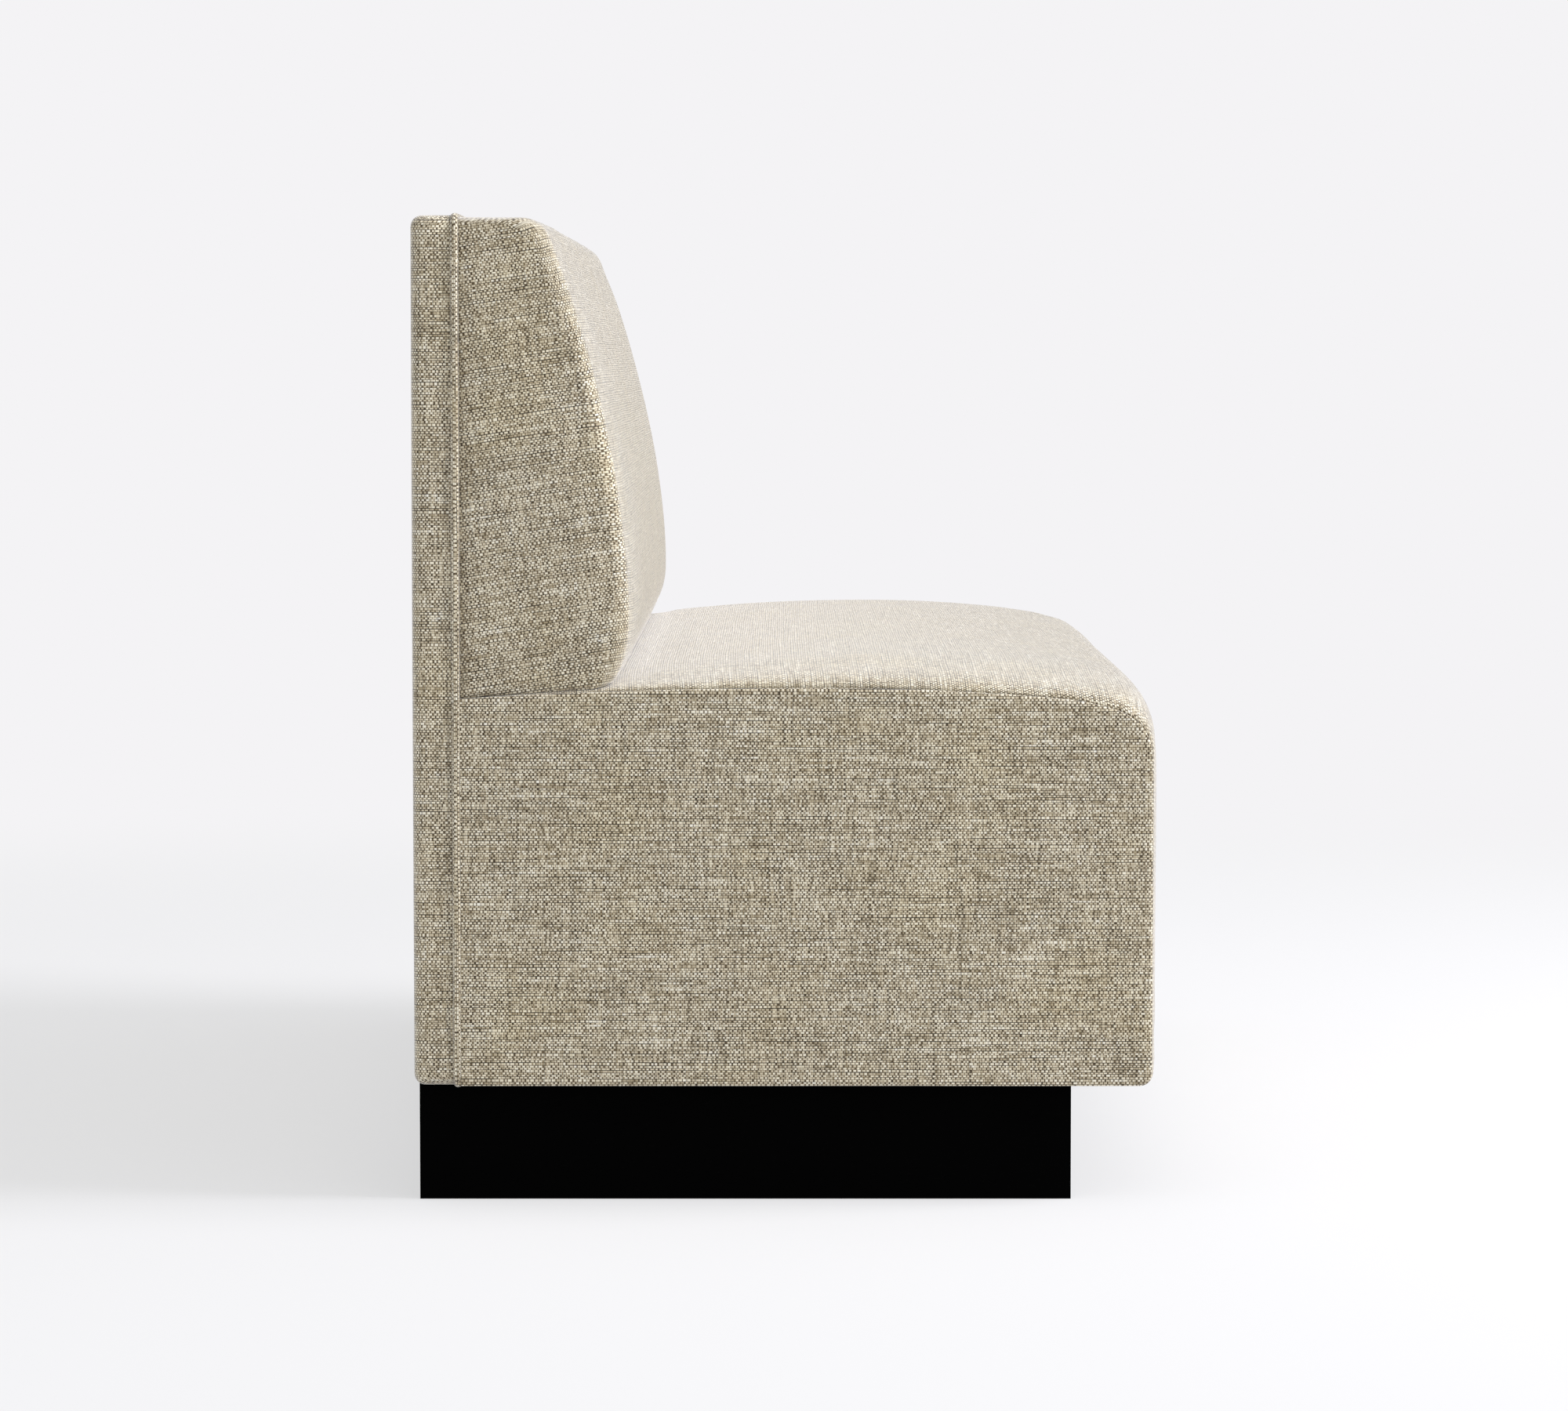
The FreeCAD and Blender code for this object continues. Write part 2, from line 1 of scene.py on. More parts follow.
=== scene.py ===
# Banquette: woven covers, fillings, webbing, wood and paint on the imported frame, in metres
import bpy
import math
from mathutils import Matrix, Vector, noise


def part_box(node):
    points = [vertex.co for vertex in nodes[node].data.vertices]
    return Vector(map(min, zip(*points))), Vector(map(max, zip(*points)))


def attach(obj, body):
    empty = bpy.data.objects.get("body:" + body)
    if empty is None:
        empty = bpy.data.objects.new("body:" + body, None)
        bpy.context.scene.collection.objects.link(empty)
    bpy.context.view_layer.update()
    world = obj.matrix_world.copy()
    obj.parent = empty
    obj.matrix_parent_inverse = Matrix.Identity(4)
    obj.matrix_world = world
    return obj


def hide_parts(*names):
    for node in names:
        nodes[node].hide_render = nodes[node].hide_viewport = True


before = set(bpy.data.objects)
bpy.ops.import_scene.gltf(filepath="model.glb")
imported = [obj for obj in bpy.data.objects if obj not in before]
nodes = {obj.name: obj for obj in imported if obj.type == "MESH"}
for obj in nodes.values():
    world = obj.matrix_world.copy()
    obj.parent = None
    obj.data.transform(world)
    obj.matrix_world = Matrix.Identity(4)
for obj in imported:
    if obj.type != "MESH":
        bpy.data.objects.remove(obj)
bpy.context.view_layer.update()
scene = bpy.context.scene
print("frame loaded:", len(nodes), "nodes")


# Small helpers
def deselect():
    bpy.ops.object.select_all(action="DESELECT")


def pick(piece):
    deselect()
    piece.select_set(True)
    bpy.context.view_layer.objects.active = piece


def given(thing, **settings):
    for key, value in settings.items():
        setattr(thing, key, value)
    return thing


def linked(name, data):
    piece = bpy.data.objects.new(name, data)
    scene.collection.objects.link(piece)
    return piece


def applied(piece, kind, **settings):
    pick(piece)
    modifier = given(piece.modifiers.new(kind.title(), kind), **settings)
    bpy.ops.object.modifier_apply(modifier=modifier.name)


def smooth(piece):
    pick(piece)
    bpy.ops.object.shade_smooth()
    return piece


def between(low, high, share):
    return low + (high - low) * share


def blended(first, second, share):
    return tuple(between(a, b, share) for a, b in zip(first, second))


def domed(a, b):
    # 0 on the rim of a square and 1 at its middle
    return math.sin(math.pi * a) * math.sin(math.pi * b)


def eased(share):
    share = min(1.0, max(0.0, share))
    return share * share * (3 - 2 * share)


def editing(piece, action="SELECT"):
    pick(piece)
    bpy.ops.object.mode_set(mode="EDIT")
    bpy.ops.mesh.select_all(action=action)


def edited():
    bpy.ops.object.mode_set(mode="OBJECT")


def selectParts(piece, kind, test):
    # leaves edit mode open, with the faces or edges that pass the test selected
    editing(piece, "DESELECT")
    bpy.ops.mesh.select_mode(type=kind)
    edited()
    for part in piece.data.polygons if kind == "FACE" else piece.data.edges:
        part.select = test(part)
    bpy.ops.object.mode_set(mode="EDIT")


def selectEdges(piece, test):
    selectParts(piece, "EDGE",
                lambda edge: test(*[piece.data.vertices[v].co for v in edge.vertices]))


# A grid of cloth: place(i, j) gives each corner's point and where it lies on the cloth, both in metres
def panel(name, across, along, place):
    deselect()
    bpy.ops.mesh.primitive_grid_add(x_subdivisions=across, y_subdivisions=along, size=1)
    piece = bpy.context.active_object
    piece.name = name
    threads = []
    for vertex in piece.data.vertices:
        i = round((vertex.co.x + 0.5) * across)
        j = round((vertex.co.y + 0.5) * along)
        vertex.co, thread = place(i, j)
        threads.append(thread)
    cloth = piece.data.uv_layers.active
    cloth.name = "cloth"
    for loop in piece.data.loops:
        cloth.data[loop.index].uv = threads[loop.vertex_index]
    piece.data.update()
    return smooth(piece)


weldGap = 0.00005


def sewn(name, parts):
    pick(parts[0])
    for part in parts[1:]:
        part.select_set(True)
    if len(parts) > 1:
        bpy.ops.object.join()
    piece = bpy.context.active_object
    piece.name = name
    editing(piece)
    bpy.ops.mesh.remove_doubles(threshold=weldGap)
    edited()
    return piece


def finished(piece, material, node):
    piece.data.materials.clear()
    piece.data.materials.append(material)
    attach(piece, "root")
    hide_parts(node)


def laid(piece, material, node):
    finished(piece, material, node)


# Outlines across the bench, as (y, z): an angle of 0 faces up, 90 the front and 180 down
def facing(angle):
    turn = math.radians(angle)
    return -math.sin(turn), math.cos(turn)


def stepped(centre, distance, angle):
    ahead, up = facing(angle)
    return centre[0] + distance * ahead, centre[1] + distance * up


def arc(centre, radius, start, end, count):
    return [stepped(centre, radius, between(start, end, k / count)) for k in range(count + 1)]


def run(start, end, count):
    return [blended(start, end, k / count) for k in range(count + 1)]


def chained(*stretches):
    points = list(stretches[0])
    for stretch in stretches[1:]:
        points += stretch[1:]
    return points


def lengthsAlong(points):
    lengths = [0.0]
    for before, after in zip(points, points[1:]):
        lengths.append(lengths[-1] + math.dist(before, after))
    return lengths


# Shader maths: a value from a node that works with + - * and functions
class Tone:
    def __init__(self, recipe, socket):
        self.recipe = recipe
        self.socket = socket

    def maths(self, operation, *others, first=None):
        values = [self if first is None else first, *others]
        node = self.recipe.add("ShaderNodeMath", dict(enumerate(values)), operation=operation)
        return Tone(self.recipe, node.outputs[0])

    def __add__(self, other):
        return self.maths("ADD", other)

    def __sub__(self, other):
        return self.maths("SUBTRACT", other)

    def __mul__(self, other):
        return self.maths("MULTIPLY", other)

    def __rsub__(self, other):
        return self.maths("SUBTRACT", self, first=other)

    __radd__ = __add__
    __rmul__ = __mul__

    def floor(self):
        return self.maths("FLOOR")

    def size(self):
        return self.maths("ABSOLUTE")

    def fraction(self):
        return self.maths("FRACT")

    def sine(self):
        return self.maths("SINE")

    def most(self, other):
        return self.maths("MAXIMUM", other)

    def ramped(self, low, high):
        sockets = {"Value": self, "From Min": low, "From Max": high}
        node = self.recipe.add("ShaderNodeMapRange", sockets, interpolation_type="SMOOTHSTEP")
        return Tone(self.recipe, node.outputs["Result"])


# A material's nodes, made one after the other
class Recipe:
    def __init__(self, name, owner=None):
        self.material = owner or bpy.data.materials.new(name)
        self.material.use_nodes = True
        self.tree = self.material.node_tree
        self.tree.nodes.clear()

    def add(self, kind, sockets=(), stops=(), **settings):
        node = given(self.tree.nodes.new(kind), **settings)
        for index, (place, colour) in enumerate(stops):
            ramp = node.color_ramp.elements
            stop = ramp[index] if index < 2 else ramp.new(place)
            stop.position = place
            stop.color = linear(colour)
        for key, value in dict(sockets).items():
            if isinstance(value, Tone):
                self.tree.links.new(value.socket, node.inputs[key])
            else:
                node.inputs[key].default_value = value
        return node

    def tone(self, kind, output, sockets=(), **settings):
        return Tone(self, self.add(kind, sockets, **settings).outputs[output])

    def point(self):
        return self.tone("ShaderNodeTexCoord", "Object")

    def cloth(self):
        return self.tone("ShaderNodeUVMap", "UV", uv_map="cloth")

    def parts(self, vector):
        node = self.add("ShaderNodeSeparateXYZ", {0: vector})
        return [Tone(self, node.outputs[k]) for k in range(3)]

    def vector(self, x, y, z=0.0):
        return self.tone("ShaderNodeCombineXYZ", 0, {0: x, 1: y, 2: z})

    def noise(self, vector, scale, detail=2.0, rough=0.5):
        sockets = {"Vector": vector, "Scale": scale, "Detail": detail, "Roughness": rough}
        return self.tone("ShaderNodeTexNoise", "Fac", sockets)

    def grain(self, x, y, z=0.0, detail=1.0, rough=0.5):
        # noise that is drawn out differently along each axis
        return self.noise(self.vector(x, y, z), 1.0, detail, rough)

    def scattered(self, value):
        return self.tone("ShaderNodeTexWhiteNoise", "Value", {"W": value}, noise_dimensions="1D")

    def shades(self, value, *stops):
        return self.tone("ShaderNodeValToRGB", "Color", {"Fac": value}, stops=stops)

    def mixed(self, share, first, second, how="MIX"):
        colours = [linear(c) if isinstance(c, tuple) else c for c in (first, second)]
        sockets = {0: share, 6: colours[0], 7: colours[1]}
        return self.tone("ShaderNodeMix", 2, sockets, data_type="RGBA", blend_type=how)

    def grey(self, value):
        return self.tone("ShaderNodeCombineColor", 0, {0: value, 1: value, 2: value})

    def surfaced(self, colour, rough, bump, specular=0.5, **others):
        # bump is a height, its strength and the distance that it stands for
        bumps = dict(zip(("Height", "Strength", "Distance"), bump))
        sockets = {"Base Color": colour, "Roughness": rough, "Specular IOR Level": specular,
                   "Normal": self.tone("ShaderNodeBump", "Normal", bumps)}
        sockets.update({key.replace("_", " "): value for key, value in others.items()})
        shader = self.add("ShaderNodeBsdfPrincipled", sockets)
        self.add("ShaderNodeOutputMaterial", {"Surface": Tone(self, shader.outputs[0])})
        return self.material


def linear(colour):
    shares = [part / 255 for part in colour]
    return (*[s / 12.92 if s <= 0.04045 else ((s + 0.055) / 1.055) ** 2.4 for s in shares], 1.0)


# Camera: level with the back's upper half, a long way off the near end
camera = dict(distance=4.6723, side=0.002, height=0.7716, pitch=3.863, focal=117.81, sensor=36)
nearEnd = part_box("outside_back_cover")[0].x


def makeCamera():
    lens = given(bpy.data.cameras.new("camera"), lens=camera["focal"], sensor_width=camera["sensor"])
    eye = linked("camera", lens)
    eye.location = (nearEnd - camera["distance"], camera["side"], camera["height"])
    eye.rotation_euler = (math.radians(90 - camera["pitch"]), 0, math.radians(-90))
    scene.camera = eye


makeCamera()

# Studio: a pale floor that curves up into a wall, one big soft lamp before the bench and a pale sky
studio = dict(near=-9.0, wall=3.6, reach=9.0, curve=3.0, top=8.0, tone=(212, 212, 213),
              drift=(217, 217, 218), nearWhite=(255, 255, 255), farWhite=(244, 243, 245),
              nearShare=0.54, fadeFrom=1.6, fadeTo=3.6, driftScale=0.6, steps=48)
lamp = dict(place=(-0.7, -3.5, 3.2), aim=(0.0, 0.1, 0.45), size=2.4, power=224.0,
            tint=(0.96, 0.95, 1.0))
sky = dict(colour=(0.97, 0.975, 1.0, 1.0), strength=0.8, shown=(244, 243, 245))


def towardsEye(recipe):
    # 1 where a ray comes from the eye, straight, by a reflection or through glass
    path = recipe.add("ShaderNodeLightPath")
    rays = [Tone(recipe, path.outputs[name])
            for name in ("Is Camera Ray", "Is Glossy Ray", "Is Transmission Ray")]
    return rays[0].most(rays[1]).most(rays[2])


def studioWhite():
    # near the bench the floor keeps its shadow, and further off it fades into one even white
    recipe = Recipe("studioWhite")
    drift = recipe.noise(recipe.point(), studio["driftScale"], 1.0)
    colour = recipe.mixed(drift, studio["tone"], studio["drift"])
    lit = recipe.tone("ShaderNodeBsdfDiffuse", 0, {"Color": colour})
    x, y, z = recipe.parts(recipe.point())
    far = (x * x + y * y + z * z).ramped(studio["fadeFrom"] ** 2, studio["fadeTo"] ** 2)
    white = recipe.mixed(far, studio["nearWhite"], studio["farWhite"])
    shown = recipe.tone("ShaderNodeEmission", 0, {"Color": white, "Strength": 1.0})
    share = towardsEye(recipe) * (studio["nearShare"] + far * (1 - studio["nearShare"]))
    both = recipe.tone("ShaderNodeMixShader", 0, {0: share, 1: lit, 2: shown})
    recipe.add("ShaderNodeOutputMaterial", {"Surface": both})
    return recipe.material


def makeSky():
    world = bpy.data.worlds.new("sky")
    world.use_nodes = True
    recipe = Recipe("skyRecipe", world)
    skies = (sky["colour"], sky["strength"]), (linear(sky["shown"]), 1.0)
    lit, shown = [recipe.tone("ShaderNodeBackground", 0, {"Color": colour, "Strength": strength})
                  for colour, strength in skies]
    both = recipe.tone("ShaderNodeMixShader", 0, {0: towardsEye(recipe), 1: lit, 2: shown})
    recipe.add("ShaderNodeOutputWorld", {"Surface": both})
    scene.world = world


def makeStudio():
    deselect()
    bpy.ops.mesh.primitive_plane_add(size=1)
    floor = bpy.context.active_object
    floor.name = "floor"
    places = [(x, y) for y in (-studio["reach"], studio["reach"])
              for x in (studio["near"], studio["wall"])]
    for vertex, (x, y) in zip(floor.data.vertices, places):
        vertex.co = (x, y, 0)
    selectEdges(floor, lambda a, b: a.x > 0 and b.x > 0)
    bpy.ops.mesh.spin(steps=studio["steps"], angle=math.pi / 2, axis=(0, 1, 0),
                      center=(studio["wall"], 0, studio["curve"]))
    bpy.ops.mesh.extrude_region_move(
        TRANSFORM_OT_translate={"value": (0, 0, studio["top"] - studio["curve"])})
    edited()
    smooth(floor)
    floor.data.materials.append(studioWhite())
    holder = linked("softLamp", given(bpy.data.lights.new("softLamp", "AREA"), shape="DISK",
                                      size=lamp["size"], energy=lamp["power"], color=lamp["tint"]))
    holder.location = lamp["place"]
    aim = Vector(lamp["aim"]) - Vector(lamp["place"])
    holder.rotation_euler = aim.to_track_quat("-Z", "Y").to_euler()


makeStudio()
makeSky()
scene.view_settings.view_transform = "Standard"
print("camera, studio and lamp ready")

# Cloth of the covers: a plain weave of pale weft over a darker warp, spun unevenly
weave = dict(warpPitch=0.0020, weftPitch=0.0022, sway=0.0004, swayScale=14.0, lift=0.55, crisp=0.22,
             unevenWarp=0.34, unevenDash=0.62, unevenWeft=0.50, unevenScale=190.0, unevenRun=5.0,
             flecks=90.0, runs=20.0, lines=18.0, patches=9.0, fuzz=2600.0, darkest=0.16, bump=0.4,
             depth=0.0005, sheenTint=(1.0, 0.99, 0.975, 1.0))


def clothMaterial(name, brightness=1.0):
    recipe = Recipe(name)
    across, along = recipe.parts(recipe.cloth())[:2]
    flow = recipe.vector(across, along)
    # threads wander a little, and some are thicker than others for a stretch; the bare numbers
    # beside their counts keep the noise of one thread, and of one use, apart from the next
    fine, slow = weave["unevenScale"], weave["unevenRun"]
    sway = (recipe.noise(flow, weave["swayScale"], 1.0) - 0.5) * weave["sway"]
    weftSpread = recipe.grain(across * slow, along * fine, 5.0, 0.0) - 0.5
    weftAt = (along + sway) * (1 / weave["weftPitch"]) + weftSpread * (2 * weave["unevenWeft"])
    weftIndex = weftAt.floor()
    warpSpread = recipe.grain(across * fine, along * slow, 17.0, 0.0) - 0.5
    dashSpread = recipe.grain(across * fine, weftIndex * 5.3, 41.0, 0.0) - 0.5
    warpAt = (across + sway) * (1 / weave["warpPitch"]) + warpSpread * (2 * weave["unevenWarp"]) + (
        dashSpread * (2 * weave["unevenDash"]))
    warpIndex = warpAt.floor()
    warpSide = warpAt.fraction() * 2 - 1
    weftSide = weftAt.fraction() * 2 - 1
    weaving = (warpAt * math.pi).sine() * (weftAt * math.pi).sine() * weave["lift"]
    weftHeight = 1 - weftSide * weftSide + weaving
    warpHeight = 1 - warpSide * warpSide - weaving
    height = weftHeight.most(warpHeight)
    cell = recipe.scattered(warpIndex * 1.37 + weftIndex * 91.73) - 0.5
    # each thread keeps its own run of tones, with some pale and some brown stretches
    fleck = recipe.grain(across * weave["flecks"], weftIndex * 3.17, 0.0, 2.0, 0.6) - 0.5
    row = recipe.grain(across * weave["runs"], weftIndex * 7.31, 4.0) - 0.5
    pile = recipe.grain(warpIndex * 3.17, along * weave["flecks"], 9.0, 2.0, 0.6) - 0.5
    column = recipe.grain(warpIndex * 7.31, along * weave["runs"], 13.0) - 0.5
    pale = row.ramped(0.13, 0.2) + column.ramped(0.17, 0.24)
    onTop = (weftHeight - warpHeight + cell * 0.3 + pale * 0.4 + row * 0.35 + 0.2).ramped(
        -weave["crisp"], weave["crisp"])
    weftTone = fleck * 0.9 + row * 0.8 + cell * 0.5 + 0.42
    warpTone = pile * 0.9 + column * 1.1 + cell * 0.5 + 0.42
    weft = recipe.shades(weftTone, (0.0, (168, 154, 124)), (0.3, (216, 204, 176)),
                         (0.6, (244, 236, 212)), (1.0, (255, 251, 238)))
    warp = recipe.shades(warpTone, (0.0, (70, 57, 38)), (0.45, (116, 101, 75)),
                         (0.75, (164, 149, 118)), (1.0, (226, 214, 184)))
    colour = recipe.mixed(onTop, warp, weft)
    patch = recipe.noise(flow, weave["patches"], 2.0).ramped(0.45, 0.75) * 0.3
    colour = recipe.mixed(patch, colour, (255, 248, 222), "MULTIPLY")
    # painted shade in the gaps between threads, which deepens into thin dark lines for a stretch
    rowLine = recipe.grain(across * weave["lines"], (weftAt + 0.5).floor() * 5.77, 29.0)
    columnLine = recipe.grain((warpAt + 0.5).floor() * 5.77, along * weave["lines"], 35.0)
    rowGapShade = weftSide.size().ramped(0.45, 1.0) * (rowLine.ramped(0.49, 0.6) * 0.55 + 0.3)
    columnGapShade = warpSide.size().ramped(0.6, 1.0) * (columnLine.ramped(0.5, 0.62) * 0.6 + 0.1)
    # the painted gap shade darkens the colour, down to the darkest share at most
    shade = (1 - rowGapShade - columnGapShade).most(weave["darkest"]) * brightness
    colour = recipe.mixed(1.0, colour, recipe.grey(shade), "MULTIPLY")
    fuzz = recipe.noise(flow, weave["fuzz"], 1.0)
    bump = height + fuzz * 0.25, weave["bump"], weave["depth"]
    return recipe.surfaced(colour, 0.95 - onTop * 0.12, bump, 0.2, Sheen_Weight=1.0,
                           Sheen_Roughness=0.45, Sheen_Tint=weave["sheenTint"])


coverCloth = clothMaterial("wovenCover")
weltCloth = clothMaterial("wovenWelt", 1.05)


# Fillings and what is under them: fibre, foam, straps, plain cloths, wood and steel
def fibreMaterial():
    recipe = Recipe("polyesterFibre")
    point = recipe.point()
    hairs = recipe.noise(point, 420.0, 4.0, 0.75)
    tufts = recipe.noise(point, 38.0, 3.0, 0.6)
    colour = recipe.shades(hairs * 0.6 + tufts * 0.4, (0.3, (206, 208, 210)), (0.7, (246, 246, 245)))
    return recipe.surfaced(colour, 0.92, (hairs + tufts, 0.5, 0.0015), Sheen_Weight=0.5,
                           Sheen_Roughness=0.5)


def foamMaterial():
    recipe = Recipe("foam")
    point = recipe.point()
    cells = recipe.tone("ShaderNodeTexVoronoi", "Distance", {"Vector": point, "Scale": 620.0})
    cut = recipe.noise(point, 24.0, 3.0)
    colour = recipe.shades(cut * 0.5 + cells * 0.5, (0.2, (214, 196, 148)), (0.7, (240, 228, 190)))
    return recipe.surfaced(colour, 0.9, (1 - cells, 0.45, 0.0006), 0.2)


plain = dict(spots=0.0022, spacing=0.02, wave=0.00012, waves=9.0, share=0.6)
web = dict(width=0.060, thickness=0.0014, rise=0.0018, ramp=0.012, margin=0.0003, seat=0.00075,
           across=8, step=0.006, rib=0.0024, pick=0.0018)


def webbingMaterial():
    # the straps' own cloth coordinates run from one edge to the other, then along
    recipe = Recipe("elasticWebbing")
    across, along = recipe.parts(recipe.cloth())[:2]
    ribs = (across * (2 * math.pi / web["rib"])).sine()
    picks = (along * (2 * math.pi / web["pick"])).sine()
    fromMiddle = (across * (1 / web["width"])).fraction() - 0.5
    outward = fromMiddle * fromMiddle
    stripe = outward.ramped(0.118, 0.122) * (1 - outward.ramped(0.146, 0.150))
    dust = recipe.noise(recipe.point(), 90.0, 3.0)
    colour = recipe.mixed(stripe, (58, 56, 54), (168, 148, 112))
    colour = recipe.mixed(dust * 0.35, colour, (120, 112, 100))
    return recipe.surfaced(colour, 0.8, (ribs * 0.5 + picks * 0.3, 0.5, 0.0004), 0.25)


def plainClothMaterial(name, low, high, roughness):
    # a bonded cloth, pressed in small diamonds
    recipe = Recipe(name)
    x, y, z = recipe.parts(recipe.point())
    first, second = x * (math.pi / plain["spots"]), (y + z) * (math.pi / plain["spots"])
    dents = (first + second).sine() * (first - second).sine()
    fibres = recipe.noise(recipe.point(), 700.0, 3.0, 0.7)
    drift = recipe.noise(recipe.point(), 7.0, 2.0)
    colour = recipe.mixed(fibres * 0.5 + drift * 0.5, low, high)
    return recipe.surfaced(colour, roughness, (dents * 0.5 + fibres * 0.5, 0.4, 0.0003), 0.2)


def plywoodMaterial(name, thin, origin, ply=0.018 / 7):
    # the plies show on the edges, where the coordinate across the board changes
    recipe = Recipe(name)
    places = recipe.parts(recipe.point())
    through = places[thin].size() if thin == 0 else places[thin]
    along, other = [places[k] for k in range(3) if k != thin]
    depth = (through - origin) * (1 / ply) + 0.5
    layer, glue = depth.floor(), depth.fraction()
    endGrain = (layer * 0.5).fraction() * 2
    line = 1 - (glue * (1 - glue)).ramped(0.03, 0.09)
    bands = recipe.grain(along * 3.0, other * 34.0, layer * 5.3, 4.0, 0.6)
    pores = recipe.grain(along * 26.0, other * 420.0, layer * 2.1, 3.0, 0.7)
    face = recipe.shades(bands * 0.7 + pores * 0.3, (0.25, (168, 132, 88)), (0.5, (202, 168, 122)),
                         (0.75, (222, 194, 150)))
    colour = recipe.mixed(endGrain * 0.45, face, (142, 104, 66))
    colour = recipe.mixed(line * 0.6, colour, (86, 58, 36))
    bump = pores * 0.5 + bands * 0.5 - line * 0.4, 0.3, 0.0004
    return recipe.surfaced(colour, 0.62 + pores * 0.2, bump, 0.3)


def timberMaterial(name, length):
    # length is the axis that the grain runs along
    recipe = Recipe(name)
    places = recipe.parts(recipe.point())
    along = places.pop(length)
    first, second = places
    bend = recipe.grain(along * 1.2, first * 3.0, second * 3.0, 2.0)
    rings = recipe.grain(along * 0.8, first * 46.0 + bend * 3.0, second * 46.0, 2.0)
    stripes = (rings * 34.0).sine() * 0.5 + 0.5
    pores = recipe.grain(along * 30.0, first * 500.0, second * 500.0, 3.0, 0.7)
    spots = recipe.vector(along * 2.6, first * 9.0, second * 9.0)
    knots = recipe.tone("ShaderNodeTexVoronoi", "Distance", {"Vector": spots, "Scale": 1.0})
    knot = 1 - knots.ramped(0.10, 0.18)
    colour = recipe.shades(stripes * 0.65 + pores * 0.35, (0.2, (226, 196, 148)),
                           (0.6, (208, 170, 116)), (0.9, (176, 130, 80)))
    colour = recipe.mixed(knot * 0.8, colour, (104, 66, 38))
    bump = pores + stripes * 0.3, 0.25, 0.0004
    return recipe.surfaced(colour, 0.6 + pores * 0.2, bump, 0.3)


def hardboardMaterial():
    recipe = Recipe("hardboard")
    point = recipe.point()
    fibres = recipe.noise(point, 240.0, 4.0, 0.7)
    chips = recipe.noise(point, 26.0, 3.0)
    colour = recipe.shades(fibres * 0.6 + chips * 0.4, (0.3, (88, 58, 36)), (0.7, (128, 92, 60)))
    return recipe.surfaced(colour, 0.7 + fibres * 0.2, (fibres, 0.3, 0.0004), 0.3)


def zincMaterial():
    recipe = Recipe("zincSteel")
    point = recipe.point()
    spangle = recipe.tone("ShaderNodeTexVoronoi", "Color", {"Vector": point, "Scale": 340.0})
    tone = recipe.parts(spangle)[0]
    worn = recipe.noise(point, 120.0, 3.0).ramped(0.55, 0.75)
    colour = recipe.mixed(worn, (196, 200, 202), (150, 150, 146))
    rough = 0.28 + tone * 0.12 + worn * 0.2
    return recipe.surfaced(colour, rough, (tone, 0.1, 0.0001), Metallic=1.0)


def paintMaterial():
    recipe = Recipe("blackPaint")
    point = recipe.point()
    peel = recipe.noise(point, 900.0, 2.0)
    scuff = recipe.noise(point, 60.0, 4.0, 0.7).ramped(0.62, 0.8)
    colour = recipe.mixed(scuff * 0.5, (2, 2, 2), (7, 7, 7))
    return recipe.surfaced(colour, 0.85 + scuff * 0.1, (peel, 0.15, 0.0002), 0.02)


def painted(material, slot, *names):
    for name in names:
        nodes[name].data.materials.clear()
        nodes[name].data.materials.append(material)


fibre, foam, webbing = fibreMaterial(), foamMaterial(), webbingMaterial()
deckCloth = plainClothMaterial("deckCloth", (196, 192, 184), (228, 226, 220), 0.85)
cambric = plainClothMaterial("blackCambric", (14, 14, 15), (30, 30, 32), 0.8)

# Carried-over nodes: boards, rails and fasteners keep their shape and get their own finish
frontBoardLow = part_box("seat_front_board")[0]
rearBoardLow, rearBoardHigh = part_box("seat_rear_board")
gableLow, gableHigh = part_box("seat_left_gable")
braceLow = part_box("plinth_cross_braces")[0]
painted(paintMaterial(), "black_paint", "plinth_front_board", "plinth_rear_board",
        "plinth_left_board", "plinth_right_board")
for name, thin, origin, boards in (
        ("plywoodAlong", 1, frontBoardLow.y, ["seat_front_board"]),
        ("plywoodRear", 1, rearBoardLow.y, ["seat_rear_board"]),
        ("plywoodEnd", 0, -gableHigh.x, ["seat_left_gable", "seat_right_gable"]),
        ("plywoodCross", 0, braceLow.x, ["plinth_cross_braces", "seat_stretchers"]),
        ("plywoodFlat", 2, frontBoardLow.z, ["seat_bearer"])):
    painted(plywoodMaterial(name, thin, origin), "plywood", *boards)
painted(timberMaterial("timberLevel", 0), "frame_timber", "back_lower_rail", "back_middle_rail",
        "back_tack_rail", "back_top_rail", "plinth_cleats")
painted(timberMaterial("timberUpright", 2), "frame_timber", "back_left_post", "back_right_post",
        "seat_corner_blocks")
painted(hardboardMaterial(), "hardboard", "back_panel")
painted(zincMaterial(), "zinc_steel", "plinth_screws", "back_bolts", "bolt_washers", "back_tee_nuts")
print("boards, rails and fasteners finished")


# Cloth under pressure from within: what pinned() names is sewn down, and the rest may swell a little
pressing = dict(quality=6, mass=0.4, tension_stiffness=25, compression_stiffness=25,
                bending_stiffness=2, air_damping=4, use_pressure=True, uniform_pressure_force=4.0,
                vertex_group_mass="sewnDown")
pressingFrames = 20


